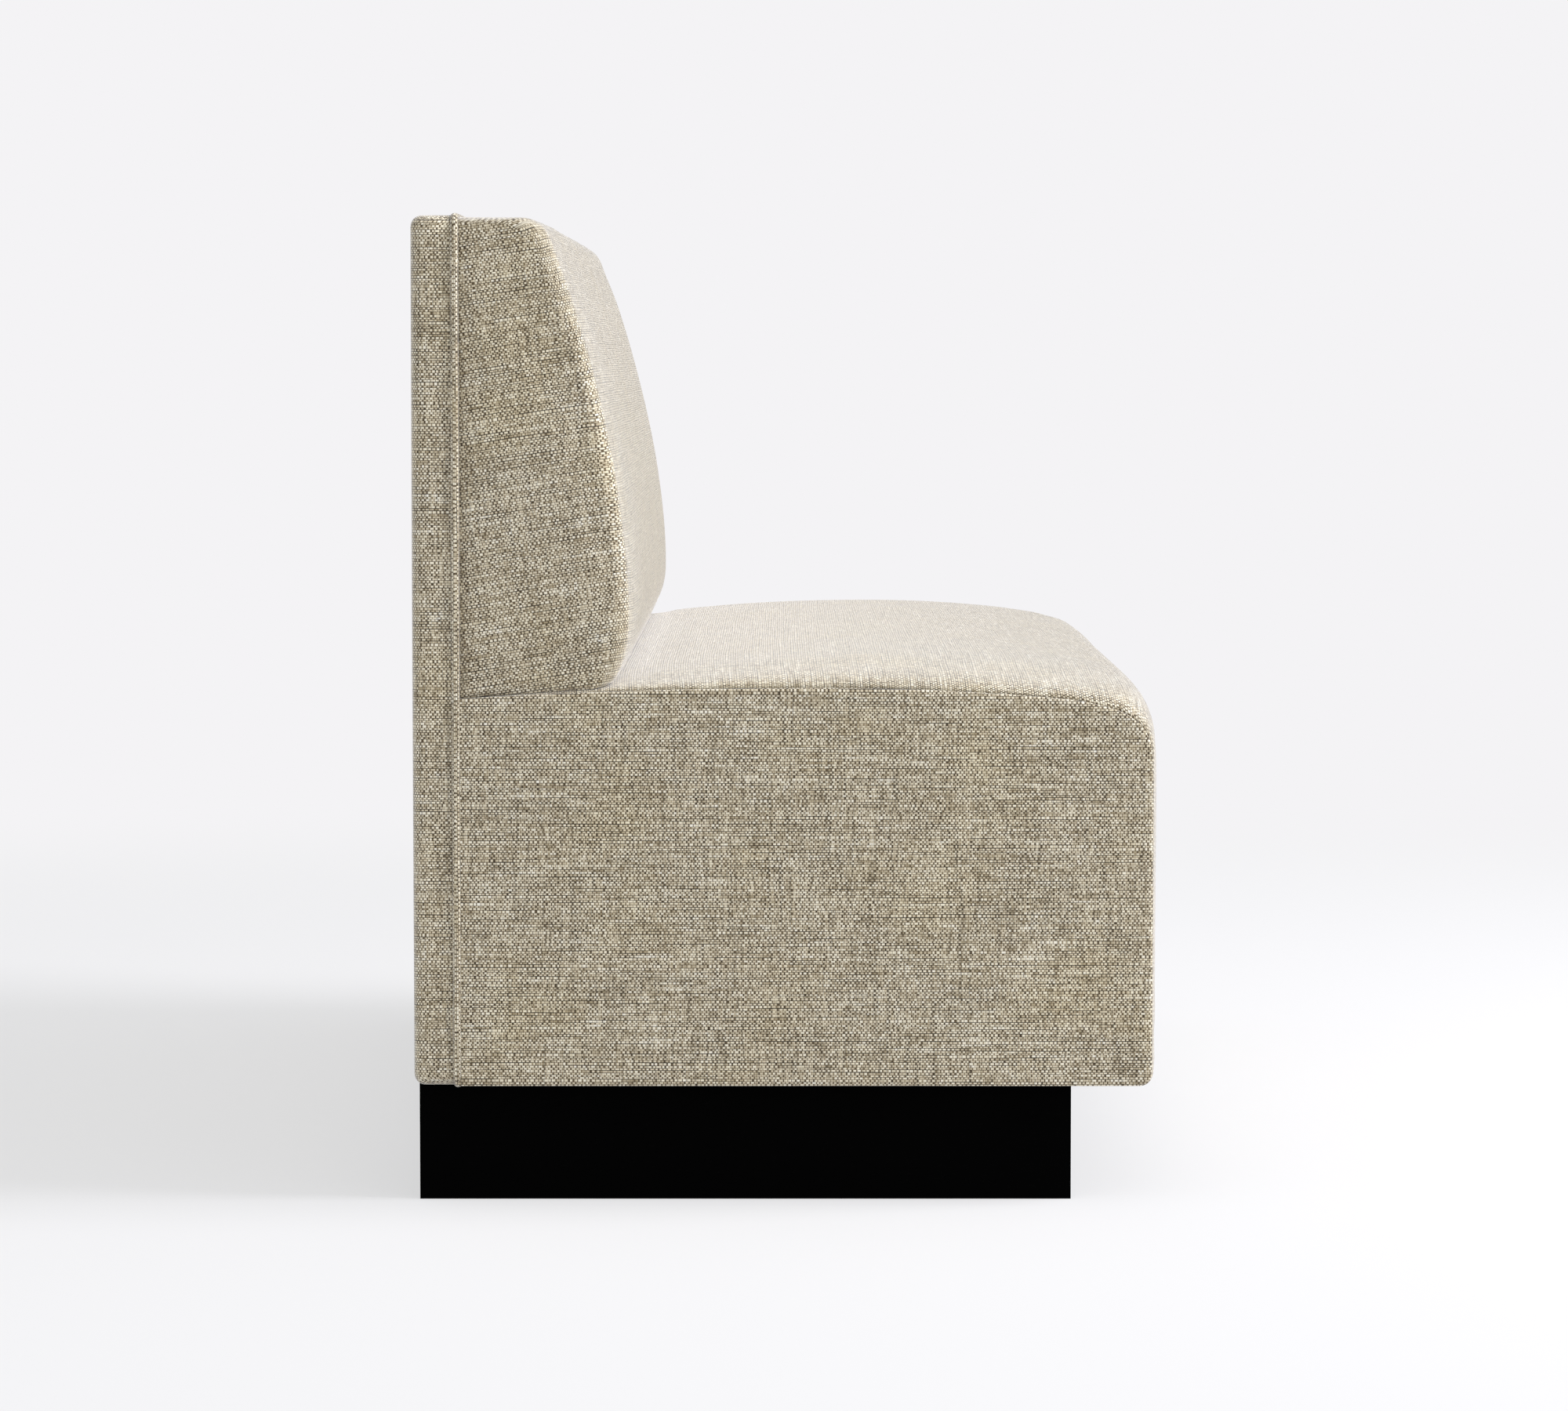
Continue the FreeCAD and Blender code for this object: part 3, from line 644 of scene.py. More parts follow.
def swollen(piece, pinned, cap):
    before = [(vertex.co.copy(), vertex.normal.copy()) for vertex in piece.data.vertices]
    sewnDown = piece.vertex_groups.new(name="sewnDown")
    sewnDown.add([v.index for v in piece.data.vertices if pinned(v.co)], 1.0, "REPLACE")
    pick(piece)
    modifier = piece.modifiers.new("Cloth", "CLOTH")
    given(modifier.settings, **pressing).effector_weights.gravity = 0
    given(modifier.point_cache, frame_start=1, frame_end=pressingFrames)
    for step in range(1, pressingFrames + 1):
        scene.frame_set(step)
    bpy.ops.object.modifier_apply(modifier=modifier.name)
    scene.frame_set(1)
    for vertex, (start, normal) in zip(piece.data.vertices, before):
        move = vertex.co - start
        move -= normal * min(0.0, move.dot(normal))  # the filling stops what would move inwards
        if move.length > 1e-7:
            vertex.co = start + move * (cap * (1 - math.exp(-move.length / cap)) / move.length)
    piece.vertex_groups.clear()


def uneven(piece, amount, scale, free):
    # small hand-made unevenness, none where free(point) is 0
    normals = [vertex.normal.copy() for vertex in piece.data.vertices]
    for vertex, normal in zip(piece.data.vertices, normals):
        share = free(vertex.co)
        if share > 0:
            vertex.co += normal * (noise.noise(vertex.co * scale) * amount * share)
    piece.data.update()


# Seat cover: one waterfall panel from under the front edge up and back to the slab
seat = dict(crown=0.0255, fullness=8, noseRadius=0.046, bulge=0.006, cornerRadius=0.011,
            rearRadius=5.640, crownRearRadius=1.650, frontRadius=2.500, crownFrontRadius=1.400,
            shoulderRadius=0.243, shoulderSlope=5.0, crownShoulderSlope=8.0,
            noseSlope=18.0, crownNoseSlope=14.0, tuck=0.030, clothThickness=0.002,
            swell=0.0022, unevenness=0.0009, lumps=7.0, spacing=0.011, endTurns=14, sewn=0.004,
            hiddenDepth=0.165, held=0.02, ease=0.05, leastCorner=0.002)
seatSteps = dict(tuck=2, corner=5, front=26, nose=9, shoulder=7, ahead=18, behind=32)
seatLow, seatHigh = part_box("seat_top_cover")
sideLow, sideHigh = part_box("seat_left_cover")
halfSeat = seatHigh.x
halfBody = -sideLow.x
seamFront = sideLow.y
seamHeight = sideHigh.z
slabFront = seatHigh.y
coverBase = seatLow.z
frameBase = frontBoardLow.z
halfFrame = -gableLow.x
seatRear = rearBoardHigh.y
clearance = 0.0003


def crownShare(x, half=halfSeat):
    return math.sqrt(max(0.0, 1 - min(1.0, abs(x) / half) ** seat["fullness"]))


def blendedRadius(atSeam, atCrown, share):
    return 1 / ((1 - share) / atSeam + share / atCrown)


def seatArcs(share):
    rear = blendedRadius(seat["rearRadius"], seat["crownRearRadius"], share)
    ahead = blendedRadius(seat["frontRadius"], seat["crownFrontRadius"], share)
    toShoulder = between(seat["shoulderSlope"], seat["crownShoulderSlope"], share)
    toNose = between(seat["noseSlope"], seat["crownNoseSlope"], share)
    nose, shoulder = seat["noseRadius"], seat["shoulderRadius"]
    front = seamFront - seat["bulge"] * share
    peak = seamHeight + seat["crown"] * share
    level = front + nose + (shoulder - nose) * math.sin(math.radians(toNose))
    level += (ahead - shoulder) * math.sin(math.radians(toShoulder))
    rearCentre, frontCentre = (level, peak - rear), (level, peak - ahead)
    shoulderCentre = stepped(frontCentre, ahead - shoulder, toShoulder)
    noseCentre = stepped(shoulderCentre, shoulder - nose, toNose)
    return dict(front=front, nose=nose, shoulder=shoulder, rear=rear, ahead=ahead,
                toShoulder=toShoulder, toNose=toNose, rearCentre=rearCentre,
                frontCentre=frontCentre, shoulderCentre=shoulderCentre, noseCentre=noseCentre)


def rearSlope(arcs, place, above):
    return -math.degrees(math.asin((place - arcs["rearCentre"][0]) / (arcs["rear"] + above)))


frontRow = seatSteps["tuck"] + seatSteps["corner"]  # where a seat profile turns up the front
noseRow = frontRow + seatSteps["front"] + (seatSteps["nose"] + 1) // 2  # halfway round its nose


def seatProfile(share, inset=0.0, rear=slabFront, base=coverBase):
    arcs = seatArcs(share)
    corner = max(seat["leastCorner"], seat["cornerRadius"] - inset)
    cornerCentre = (arcs["front"] + inset + corner, base + corner)
    tuckEnd = (seamFront + seat["tuck"], base)
    nose, shoulder, ahead, back = [arcs[key] - inset for key in ("nose", "shoulder", "ahead", "rear")]
    steps, noseCentre = seatSteps, arcs["noseCentre"]
    return chained(
        run(tuckEnd, stepped(cornerCentre, corner, 180), steps["tuck"]),
        arc(cornerCentre, corner, 180, 90, steps["corner"]),
        run(stepped(cornerCentre, corner, 90), stepped(noseCentre, nose, 90), steps["front"]),
        arc(noseCentre, nose, 90, arcs["toNose"], steps["nose"]),
        arc(arcs["shoulderCentre"], shoulder, arcs["toNose"], arcs["toShoulder"], steps["shoulder"]),
        arc(arcs["frontCentre"], ahead, arcs["toShoulder"], 0, steps["ahead"]),
        arc(arcs["rearCentre"], back, 0, rearSlope(arcs, rear, -inset), steps["behind"]))


def crownStations(reach, spacing):
    # places across the bench, closer where the crown falls away at the ends
    turns = seat["endTurns"]
    ends = [halfSeat * math.cos(math.pi / 2 * k / turns) ** (2 / seat["fullness"])
            for k in range(turns)]
    ends = [x for x in ends if x < reach - 1e-6]
    inner = ends[-1] if ends else reach
    count = round(2 * inner / spacing)
    middle = [between(-inner, inner, k / count) for k in range(1, count)]
    return [-reach] + [-x for x in ends] + middle + ends[::-1] + [reach]


def rowLengths(rows):
    # lengths along each row of points, measured from the middle
    lengths = []
    for row in rows:
        along = lengthsAlong(row)
        lengths.append([length - along[-1] / 2 for length in along])
    return lengths


def layForm(name, stations, profile):
    # one panel over the stations' profiles, and the size that it was cut to
    columns = [[Vector((x, y, z)) for y, z in profile(x)] for x in stations]
    rows = len(columns[0])
    across = rowLengths([[column[j] for column in columns] for j in range(rows)])
    along = [lengthsAlong(column) for column in columns]
    longest = max(lengths[-1] for lengths in along)

    def place(i, j):
        # threads are counted from the rear edge, so they run straight from end to end
        return columns[i][j], (across[j][i], along[i][j] - along[i][-1])

    return panel(name, len(stations) - 1, rows - 1, place), (across[rows // 2][-1] * 2, longest)


def makeSeatCover():
    cover, flat = layForm("seatTopCover", crownStations(halfSeat, seat["spacing"]),
                          lambda x: seatProfile(crownShare(x)))
    edge, hidden, ease = halfSeat - seat["sewn"], slabFront - seat["hiddenDepth"], seat["ease"]

    def pinned(point):
        return abs(point.x) > edge or point.y > hidden or point.z < coverBase + seat["held"]

    def free(point):
        return min(1.0, (halfSeat - abs(point.x)) / ease, max(0.0, (hidden - point.y) / ease),
                   max(0.0, (point.z - coverBase) / ease))

    swollen(cover, pinned, seat["swell"])
    uneven(cover, seat["unevenness"], seat["lumps"], free)
    applied(cover, "SOLIDIFY", thickness=seat["clothThickness"], offset=-1)
    return cover, flat


seatTop, seatTopFlat = makeSeatCover()
laid(seatTop, coverCloth, "seat_top_cover")
print("seat cover laid", [round(v, 3) for v in seatTopFlat])


# Seat side covers: flat panels inside the seam line, with a turned edge and a strip tucked under
sides = dict(thickness=0.002, edge=0.004, edgeRows=4, drop=0.0016, swell=0.0015, across=64, along=44,
             tuckEnd=0.6485, tuckSteps=4, cornerRow=5)
wadding = dict(gap=0.0004, inset=0.0024, thickness=0.0070)


def spanned(bottom, top, front, rear, a, b):
    # a point of the patch between four sides: a runs from the front to the rear, b upwards
    i, j = round(a * (len(bottom) - 1)), round(b * (len(front) - 1))
    upright, level = blended(bottom[i], top[i], b), blended(front[j], rear[j], a)
    corners = blended(blended(bottom[0], bottom[-1], a), blended(top[0], top[-1], a), b)
    return [upright[k] + level[k] - corners[k] for k in (0, 1)]


def resampled(points, shares):
    lengths = lengthsAlong(points)
    found = []
    for share in shares:
        target = share * lengths[-1]
        k = max(n for n in range(len(points) - 1) if lengths[n] <= target or n == 0)
        step = (target - lengths[k]) / (lengths[k + 1] - lengths[k])
        found.append(blended(points[k], points[k + 1], step))
    return found


def edgedShares(count, side):
    # shares of a side that crowd at its two ends, for the turned edge
    edge, rows = sides["edge"] / lengthsAlong(side)[-1], sides["edgeRows"]
    ends = [edge * (1 - math.cos(math.pi / 2 * k / rows)) for k in range(rows)]
    inner = [between(edge, 1 - edge, k / (count - 2 * rows)) for k in range(count - 2 * rows + 1)]
    return ends + inner + [1 - share for share in ends[::-1]]


def makeSidePanel(name, side, reach, inset=0.0, thickness=sides["thickness"], rear=slabFront,
                  base=coverBase, swell=0.0):
    profile = seatProfile(0.0, inset, rear, base)
    cornerRow = sides["cornerRow"]  # where the bottom edge is taken to end and the front to begin
    topSide, frontSide = profile[noseRow:], profile[cornerRow:noseRow + 1]
    bottomSide = profile[seatSteps["tuck"]:cornerRow + 1][::-1] + [(rear, base)]
    widths = edgedShares(sides["across"], topSide)
    heights = edgedShares(sides["along"], frontSide)
    bottom, top = resampled(bottomSide, widths), resampled(topSide, widths)
    front, back = resampled(frontSide, heights), resampled([(rear, base), topSide[-1]], heights)
    depth, height = rear - seamFront, seamHeight - base

    def place(i, j):
        i = i if side > 0 else sides["across"] - i
        y, z = spanned(bottom, top, front, back, i / sides["across"], j / sides["along"])
        # the share of the way in is that of the crowded rows, so the seam turns in evenly
        ends = [widths[i] * depth, heights[j] * height, (1 - heights[j]) * height]
        fromEdge = min(ends) / sides["edge"]
        turned = 1 - math.sqrt(max(0.0, 1 - max(0.0, 1 - fromEdge) ** 2))
        x = reach - sides["drop"] * turned + swell * domed(widths[i], heights[j])
        return Vector((side * x, y, z)), (y, z)

    parts = [panel(name, sides["across"], sides["along"], place)]
    if swell:
        # a strip turned under the frame, along the panel's level bottom edge
        lowEdge = [y for y, z in bottom if z < base + 1e-6]
        edgeX = reach - sides["drop"]

        def tuck(i, j):
            i = i if side > 0 else len(lowEdge) - 1 - i
            x = between(sides["tuckEnd"], edgeX, j / sides["tuckSteps"])
            return Vector((side * x, lowEdge[i], base)), (lowEdge[i], base - edgeX + x)

        parts.append(panel(name + "Tuck", len(lowEdge) - 1, sides["tuckSteps"], tuck))
    cover = sewn(name, parts)
    applied(cover, "SOLIDIFY", thickness=thickness, offset=-1)
    return smooth(cover)


for side, name, hand in ((-1, "Left", "left"), (1, "Right", "right")):
    layer = makeSidePanel(f"seat{name}Wadding", side, halfSeat - wadding["gap"], wadding["inset"],
                          wadding["thickness"], seatRear, frameBase + clearance)
    laid(layer, fibre, f"seat_{hand}_wadding")
    cover = makeSidePanel(f"seat{name}Cover", side, halfBody, swell=sides["swell"])
    laid(cover, coverCloth, f"seat_{hand}_cover")

# Seat filling: a fibre wrap under the cover, and foam cut to the same curve
filling = dict(play=0.0012, wrap=0.0107, spacing=0.016, unevenness=0.0003, tufts=60.0, voxel=0.009,
               fineVoxel=0.0045, fill=0.95)


def makeSeatWrap():
    inset = seat["clothThickness"] + filling["play"]
    base = frameBase + clearance
    wrap, flat = layForm("seatFibreWrap", crownStations(halfFrame - clearance, filling["spacing"]),
                         lambda x: seatProfile(crownShare(x), inset, seatRear, base)[frontRow:])
    uneven(wrap, filling["unevenness"], filling["tufts"], lambda point: 1.0)
    applied(wrap, "SOLIDIFY", thickness=filling["wrap"], offset=-1)
    return wrap, flat


def cutFoam(name, node, voxel):
    # the foam is the CAD solid with its triangles joined and its cut edges eased
    piece = sewn(name, [linked(name, nodes[node].data.copy())])
    applied(piece, "REMESH", mode="VOXEL", voxel_size=voxel, use_smooth_shade=True)
    applied(piece, "SMOOTH", factor=0.5, iterations=2)
    finished(piece, foam, node)


seatWrap, seatWrapFlat = makeSeatWrap()
laid(seatWrap, fibre, "seat_fibre_wrap")
cutFoam("seatFoam", "seat_foam", filling["voxel"])
cutFoam("seatFrontFoam", "seat_front_foam", filling["fineVoxel"])
print("seat filling laid", [round(v, 3) for v in seatWrapFlat])


# Back cushion: one wrapped cover whose front leans back and whose ends turn in a soft round
cushion = dict(thickness=0.1565, rise=0.063, belly=0.590, bellyAngle=6.0, topDepth=0.057,
               topRadius=0.029, footSetBack=0.016, endRadius=0.014, topDrop=0.005, crown=0.006,
               gap=0.0005, clothThickness=0.002, lean=9.0, toeRound=0.006, endSwell=0.0015,
               spacing=0.012, endTurns=8, swell=0.0020, unevenness=0.0009, lumps=7.0, turning=1.15,
               sewn=0.004, held=0.02, easeRear=0.04, easeFoot=0.05, toeDrop=0.45, wrapInset=0.0026,
               wrapThickness=0.0092)
cushionSteps = dict(under=8, foot=8, belly=10, upper=24, corner=8, top=6)
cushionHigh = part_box("back_cushion_cover")[1]
halfCushion = cushionHigh.x
cushionTop = cushionHigh.z
thickestHeight = seamHeight + cushion["rise"]


def tangentRadius(start, angle, cornerCentre, corner):
    ahead, up = facing(angle)
    across = (cornerCentre[0] - start[0], cornerCentre[1] - start[1])
    inward = -(across[0] * ahead + across[1] * up)
    return (across[0] ** 2 + across[1] ** 2 - corner ** 2) / (2 * (inward - corner))


def frontMeeting(first, firstRadius, second, secondRadius):
    # where two circles cross, on the front side
    apart = math.dist(first, second)
    ahead = ((second[0] - first[0]) / apart, (second[1] - first[1]) / apart)
    along = (firstRadius ** 2 - secondRadius ** 2 + apart ** 2) / (2 * apart)
    across = math.sqrt(firstRadius ** 2 - along ** 2)
    return min((first[0] + along * ahead[0] - turn * across * ahead[1],
                first[1] + along * ahead[1] + turn * across * ahead[0]) for turn in (-1, 1))


def footRadius(front, arcs):
    foot = front + cushion["footSetBack"]
    seatPoint = stepped(arcs["rearCentre"], arcs["rear"], rearSlope(arcs, foot, 0.0))
    drop = thickestHeight - seatPoint[1]
    return (drop ** 2 + cushion["footSetBack"] ** 2) / (2 * cushion["footSetBack"])


def cushionProfile(x, roundShare, inset=0.0):
    arcs = seatArcs(crownShare(x))
    front = slabFront - cushion["thickness"] + inset + (cushion["endRadius"] - inset) * roundShare
    front -= cushion["crown"] * crownShare(x, halfCushion - inset)
    top = cushionTop - inset - cushion["topDrop"] * roundShare
    belly, corner = cushion["belly"] - inset, cushion["topRadius"] - inset
    bellyEnd = 90 - cushion["bellyAngle"]
    bellyCentre = (front + belly, thickestHeight)
    cornerCentre = (front - inset + cushion["thickness"] - cushion["topDepth"], top - corner)
    upper = tangentRadius(stepped(bellyCentre, belly, bellyEnd), bellyEnd, cornerCentre, corner)
    upperCentre = stepped(bellyCentre, belly - upper, bellyEnd)
    cornerEnd = math.degrees(math.atan2((upperCentre[0] - cornerCentre[0]) / (upper - corner),
                                        (cornerCentre[1] - upperCentre[1]) / (upper - corner)))
    above = cushion["gap"] + inset
    sole = arcs["rear"] + above
    foot = footRadius(front - inset, arcs) - inset
    footCentre = (front + foot, thickestHeight)
    footEnd = frontMeeting(footCentre, foot, arcs["rearCentre"], sole)
    footAngle = 90 + math.degrees(math.asin((footCentre[1] - footEnd[1]) / foot))
    back = rearSlope(arcs, slabFront, above)
    toeSlope = rearSlope(arcs, footEnd[0] + cushion["toeRound"], above)
    toeAngle = footAngle - math.degrees(cushion["toeRound"] / foot)
    steps = cushionSteps
    under = arc(arcs["rearCentre"], sole, back, toeSlope, steps["under"])
    toe = stepped(footCentre, foot, toeAngle)
    middle = blended(blended(under[-1], toe, 0.5), footEnd, cushion["toeDrop"])
    return chained(
        under, [under[-1], middle, toe],
        arc(footCentre, foot, toeAngle, 90, steps["foot"]),
        arc(bellyCentre, belly, 90, bellyEnd, steps["belly"]),
        arc(upperCentre, upper, bellyEnd, cornerEnd, steps["upper"]),
        arc(cornerCentre, corner, cornerEnd, 0, steps["corner"]),
        run(stepped(cornerCentre, corner, 0), (slabFront, top), steps["top"]))


underCount = cushionSteps["under"] + 2
frontCount = (cushionSteps["foot"] + cushionSteps["belly"] + cushionSteps["upper"]
              + cushionSteps["corner"] // 2)
beltRow = underCount + 14  # a row of a cushion's profile at its fullest
middleColumn = 60  # a profile near the bench's middle


def leaned(point):
    # where a point lies across the threads of the ends, which run square to the leaning front
    turn = math.radians(cushion["lean"])
    return (point[0] * math.cos(turn) - point[1] * math.sin(turn),
            point[1] * math.cos(turn) + point[0] * math.sin(turn))


def makeCushionForm(name, inset, thickness):
    half = halfCushion - inset
    turn = cushion["endRadius"] - inset
    angles = [math.pi / 2 * k / cushion["endTurns"] for k in range(cushion["endTurns"] + 1)]
    ends = [(half - turn * (1 - math.cos(angle)), 1 - math.sin(angle)) for angle in angles]
    count = round(2 * ends[-1][0] / cushion["spacing"])
    middle = [(between(-ends[-1][0], ends[-1][0], k / count), 0.0) for k in range(1, count)]
    stations = [(-x, share) for x, share in ends] + middle + ends[::-1]
    columns = [[Vector((x, y, z)) for y, z in cushionProfile(x, share, inset)]
               for x, share in stations]
    rows = len(columns[0])
    cornerRow = underCount + frontCount
    across = rowLengths([[column[j] for column in columns] for j in range(rows)])
    edgeSideways = leaned(columns[0][beltRow].yz)[0]

    def place(i, j):
        point = columns[i][j]
        sideways, up = leaned(point.yz)
        roundness = eased(stations[i][1] * cushion["turning"])
        side = 1 if point.x > 0 else -1
        endPlace = side * (across[cornerRow][-1] + sideways - edgeSideways)
        if j > cornerRow:
            up = leaned(columns[i][cornerRow].yz)[1] + lengthsAlong(columns[i][cornerRow:j + 1])[-1]
            return point, (across[j][i], up)
        return point, (between(across[j][i], endPlace, roundness), up)

    wrap = panel(name, len(stations) - 1, rows - 1, place)
    caps = [makeCushionEnd(columns, side, across[cornerRow][-1] - edgeSideways) for side in (-1, 1)]
    cover = sewn(name, [wrap, *caps])
    hidden = slabFront - cushion["sewn"]

    def pinned(point):
        return point.y > hidden or point.z < seatSurface(point) + cushion["held"]

    def free(point):
        return max(0.0, min(1.0, (hidden - point.y) / cushion["easeRear"],
                            (point.z - seatSurface(point)) / cushion["easeFoot"]))

    if inset == 0:
        swollen(cover, pinned, cushion["swell"])
        uneven(cover, cushion["unevenness"], cushion["lumps"], free)
    applied(cover, "SOLIDIFY", thickness=thickness, offset=-1)
    profile = columns[middleColumn]
    girth = sum((after - before).length for before, after in zip(profile, profile[1:]))
    return smooth(cover), (across[cornerRow][-1] * 2 + 2 * cushion["thickness"], girth)


def seatSurface(point):
    # how high the seat cover lies at a point's place
    arcs = seatArcs(crownShare(point.x))
    ahead, up = arcs["rearCentre"]
    return up + math.sqrt(arcs["rear"] ** 2 - (point.y - ahead) ** 2)


def makeCushionEnd(columns, side, threadStart):
    outline = [point.yz for point in columns[0 if side < 0 else -1]]
    bottom = outline[:underCount + 1][::-1]
    front = outline[underCount:underCount + frontCount + 1]
    top = outline[underCount + frontCount:]
    rear = run(bottom[-1], top[-1], frontCount)
    end = abs(columns[0][0].x)

    def place(i, j):
        i = i if side > 0 else underCount - i
        a, b = i / underCount, j / frontCount
        y, z = spanned(bottom, top, front, rear, a, b)
        sideways, up = leaned((y, z))
        x = end + cushion["endSwell"] * domed(a, b)
        return Vector((side * x, y, z)), (side * (threadStart + sideways), up)

    return panel("cushionEnd", underCount, frontCount, place)


backCushion, backCushionFlat = makeCushionForm("backCushionCover", 0.0, cushion["clothThickness"])
backWrap, backWrapFlat = makeCushionForm("backFibreWrap", cushion["wrapInset"],
                                         cushion["wrapThickness"])
cutFoam("backFoam", "back_foam", filling["voxel"])
laid(backCushion, coverCloth, "back_cushion_cover")
laid(backWrap, fibre, "back_fibre_wrap")
print("back cushion wrapped", [round(v, 3) for v in backCushionFlat])

# Outside back: a shallow tray of cloth over the slab, and the thin wadding inside it
outside = dict(cornerRadius=0.012, rearRadius=0.010, thickness=0.002, spacing=0.045, swell=0.0015,
               segments=6, waddingInset=0.0024, waddingThickness=0.0042)
outsideLow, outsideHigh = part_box("outside_back_cover")


def block(name, low, high):
    deselect()
    bpy.ops.mesh.primitive_cube_add(size=1, location=(low + high) / 2)
    piece = bpy.context.active_object
    piece.name = name
    piece.scale = high - low
    bpy.ops.object.transform_apply(location=True, rotation=True, scale=True)
    return piece


def makeOutsideForm(name, inset, thickness, swell):
    low = Vector((outsideLow.x + inset, slabFront, outsideLow.z + inset))
    high = Vector((outsideHigh.x - inset, outsideHigh.y - inset, outsideHigh.z - inset))
    cover = block(name, low, high)
    for radius, test in ((outside["cornerRadius"], lambda a, b: abs((b - a).y) > 0.01),
                         (outside["rearRadius"], lambda a, b: min(a.y, b.y) > high.y - 1e-5)):
        selectEdges(cover, test)
        bpy.ops.mesh.bevel(offset=radius - inset, segments=outside["segments"], affect="EDGES")
        edited()
    selectParts(cover, "FACE", lambda face: face.normal.y < -0.9)
    bpy.ops.mesh.delete(type="ONLY_FACE")
    for k, (start, end) in ((0, (low.x, high.x)), (2, (low.z, high.z))):
        count = round((end - start) / outside["spacing"])
        for step in range(1, count):
            spot, normal = [0, 0, 0], [0, 0, 0]
            spot[k], normal[k] = between(start, end, step / count), 1
            bpy.ops.mesh.select_all(action="SELECT")
            bpy.ops.mesh.bisect(plane_co=spot, plane_no=normal)
    bpy.ops.mesh.select_all(action="SELECT")
    bpy.ops.mesh.normals_make_consistent(inside=False)
    edited()
    for vertex in cover.data.vertices:
        point = vertex.co
        if point.y > high.y - 1e-5:
            full = domed((point.x - low.x) / (high.x - low.x), (point.z - low.z) / (high.z - low.z))
            point.y += swell * max(0.0, full) ** 0.5
    cloth = cover.data.uv_layers.active or cover.data.uv_layers.new()
    cloth.name = "cloth"
    for face in cover.data.polygons:
        level = abs(face.normal.z) > max(abs(face.normal.x), 0.7)
        for index in face.loop_indices:
            point = cover.data.vertices[cover.data.loops[index].vertex_index].co
            wrap = high.y - point.y
            if level:
                cloth.data[index].uv = (point.x, point.z + math.copysign(wrap, face.normal.z))
            else:
                cloth.data[index].uv = (point.x + math.copysign(wrap, point.x), point.z)
    applied(cover, "SOLIDIFY", thickness=thickness, offset=-1)
    return smooth(cover)


outsideCover = makeOutsideForm("outsideBackCover", 0.0, outside["thickness"], outside["swell"])
laid(outsideCover, coverCloth, "outside_back_cover")
rearWadding = makeOutsideForm("backRearWadding", outside["waddingInset"],
                              outside["waddingThickness"], 0.0)
laid(rearWadding, fibre, "back_rear_wadding")


# Welt: a strip of the cloth folded round a cord, up one side, over the top and down the other
welt = dict(diameter=0.0075, proud=0.0025, turn=0.012, turnSteps=6, around=12, spacing=0.004,
            pucker=0.03, stitch=0.0065)


def makeWelt():
    radius = welt["diameter"] / 2
    sunk = radius - welt["proud"]
    reach = outsideHigh.x - sunk
    turn = welt["turn"] - sunk
    low, high = outsideLow.z + sunk, outsideHigh.z - sunk
    upright = round((high - low - 2 * turn) / welt["spacing"])
    level = round((2 * reach - 2 * turn) / welt["spacing"])
    corners = [(-reach + turn, low + turn), (-reach + turn, high - turn),
               (reach - turn, high - turn), (reach - turn, low + turn)]
    path = []
    # each corner is an arc whose angle falls from its start, counted from +X towards +Z
    for (x, z), start, count in zip(corners, (270, 180, 90, 0), (0, upright, level, upright)):
        angles = [start - 90 * k / welt["turnSteps"] for k in range(welt["turnSteps"] + 1)]
        corner = [(x + turn * math.cos(math.radians(t)), z + turn * math.sin(math.radians(t)), t)
                  for t in angles]
        if path:
            path += [blended(path[-1], corner[0], k / count) for k in range(1, count)]
        path += corner
    lengths = lengthsAlong([(x, z) for x, z, _ in path])

    def place(i, j):
        x, z, angle = path[j]
        turnRound = 2 * math.pi * i / welt["around"]
        pucker = 1 + welt["pucker"] * math.sin(2 * math.pi * lengths[j] / welt["stitch"])
        out = radius * pucker * math.cos(turnRound)
        back = radius * pucker * math.sin(turnRound)
        outward = Vector((math.cos(math.radians(angle)), 0, math.sin(math.radians(angle))))
        return Vector((x, slabFront, z)) + outward * out + Vector((0, back, 0)), (
            lengths[j], radius * turnRound)

    tube = sewn("backWelt", [panel("backWelt", welt["around"], len(path) - 1, place)])
    editing(tube)
    bpy.ops.mesh.fill_holes(sides=0)
    bpy.ops.mesh.normals_make_consistent(inside=False)
    edited()
    return smooth(tube)


finished(makeWelt(), weltCloth, "back_welt")
print("welt sewn round the back")


# Webbing: each strap rises over its neighbours where the weave calls for it
def strapCentres(node, count, widthAxis):
    low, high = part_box(node)
    half = web["width"] / 2
    return [between(low[widthAxis] + half, high[widthAxis] - half, k / (count - 1))
            for k in range(count)]


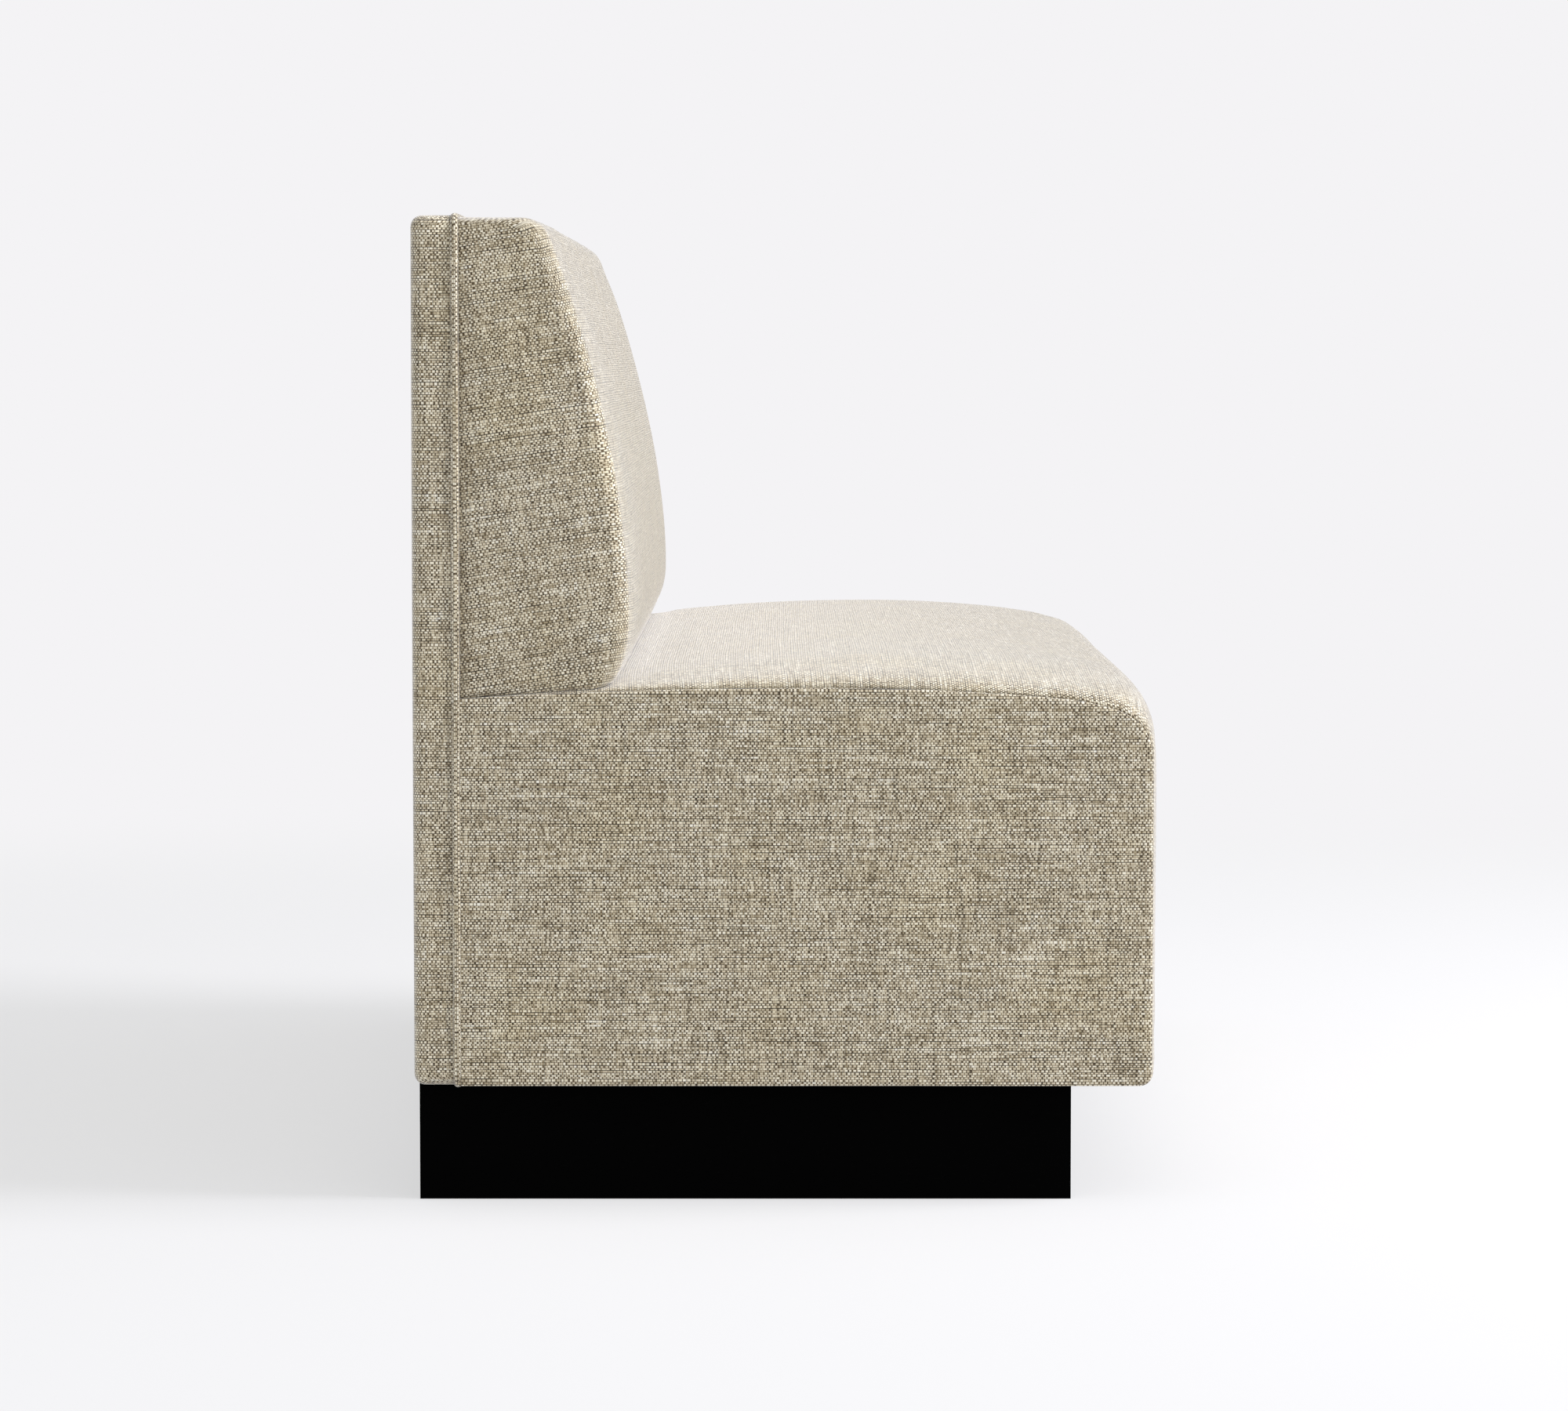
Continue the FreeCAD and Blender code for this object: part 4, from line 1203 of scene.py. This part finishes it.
def makeStraps(name, net, crossing, overFirst, outward):
    node, count, widthAxis, lengthAxis = net
    low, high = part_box(node)
    half = web["width"] / 2
    others = strapCentres(*crossing[:3])
    start, end = low[lengthAxis], high[lengthAxis]
    steps = round((end - start) / web["step"])
    heightAxis = 3 - lengthAxis - widthAxis
    base = low[heightAxis] if outward > 0 else high[heightAxis]
    reach = half + web["margin"]
    parts = []
    for index, centre in enumerate(strapCentres(node, count, widthAxis)):
        raised = [other for turn, other in enumerate(others) if (index + turn) % 2 == overFirst]

        def place(i, j):
            along = between(start, end, j / steps)
            near = min([abs(along - other) for other in raised] or [1.0])
            lift = web["rise"] * (1 - eased((near - reach) / web["ramp"]))
            sideways = between(-half, half, i / web["across"])
            point = Vector((0, 0, 0))
            point[lengthAxis] = along
            point[widthAxis] = centre + sideways
            point[heightAxis] = base + outward * (lift + web["seat"])
            return point, (sideways + half, along)

        parts.append(panel(f"{name}{index}", web["across"], steps, place))
    straps = sewn(name, parts)
    applied(straps, "SOLIDIFY", thickness=web["thickness"], offset=0)
    laid(straps, webbing, node)


# each net: its node, its straps, and the axes that they are spread along and run along
seatLong, seatCross = ("seat_long_webbing", 10, 0, 1), ("seat_cross_webbing", 4, 1, 0)
backUpright, backLevel = ("back_upright_webbing", 10, 0, 2), ("back_level_webbing", 3, 2, 0)
makeStraps("seatLongWebbing", seatLong, seatCross, 0, 1)
makeStraps("seatCrossWebbing", seatCross, seatLong, 1, 1)
makeStraps("backUprightWebbing", backUpright, backLevel, 0, -1)
makeStraps("backLevelWebbing", backLevel, backUpright, 1, -1)
print("webbing laced")


# Plain cloths: over the webbing, and the dust cover under the seat
def makeFlatCloth(name, node, thin, material):
    low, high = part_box(node)
    first, second = [axis for axis in range(3) if axis != thin]
    width, length = high[first] - low[first], high[second] - low[second]
    across, along = round(width / plain["spacing"]), round(length / plain["spacing"])
    middle = (low[thin] + high[thin]) / 2

    def place(i, j):
        point = Vector((0, 0, 0))
        point[first] = between(low[first], high[first], i / across)
        point[second] = between(low[second], high[second], j / along)
        point[thin] = middle + plain["wave"] * noise.noise(point * plain["waves"])
        return point, (point[first], point[second])

    cloth = panel(name, across, along, place)
    applied(cloth, "SOLIDIFY", thickness=(high[thin] - low[thin]) * plain["share"], offset=0)
    laid(cloth, material, node)


makeFlatCloth("seatDeckCloth", "seat_deck_cloth", 2, deckCloth)
makeFlatCloth("backDeckCloth", "back_deck_cloth", 1, deckCloth)
makeFlatCloth("dustCover", "dust_cover", 2, cambric)
print("cloths laid")
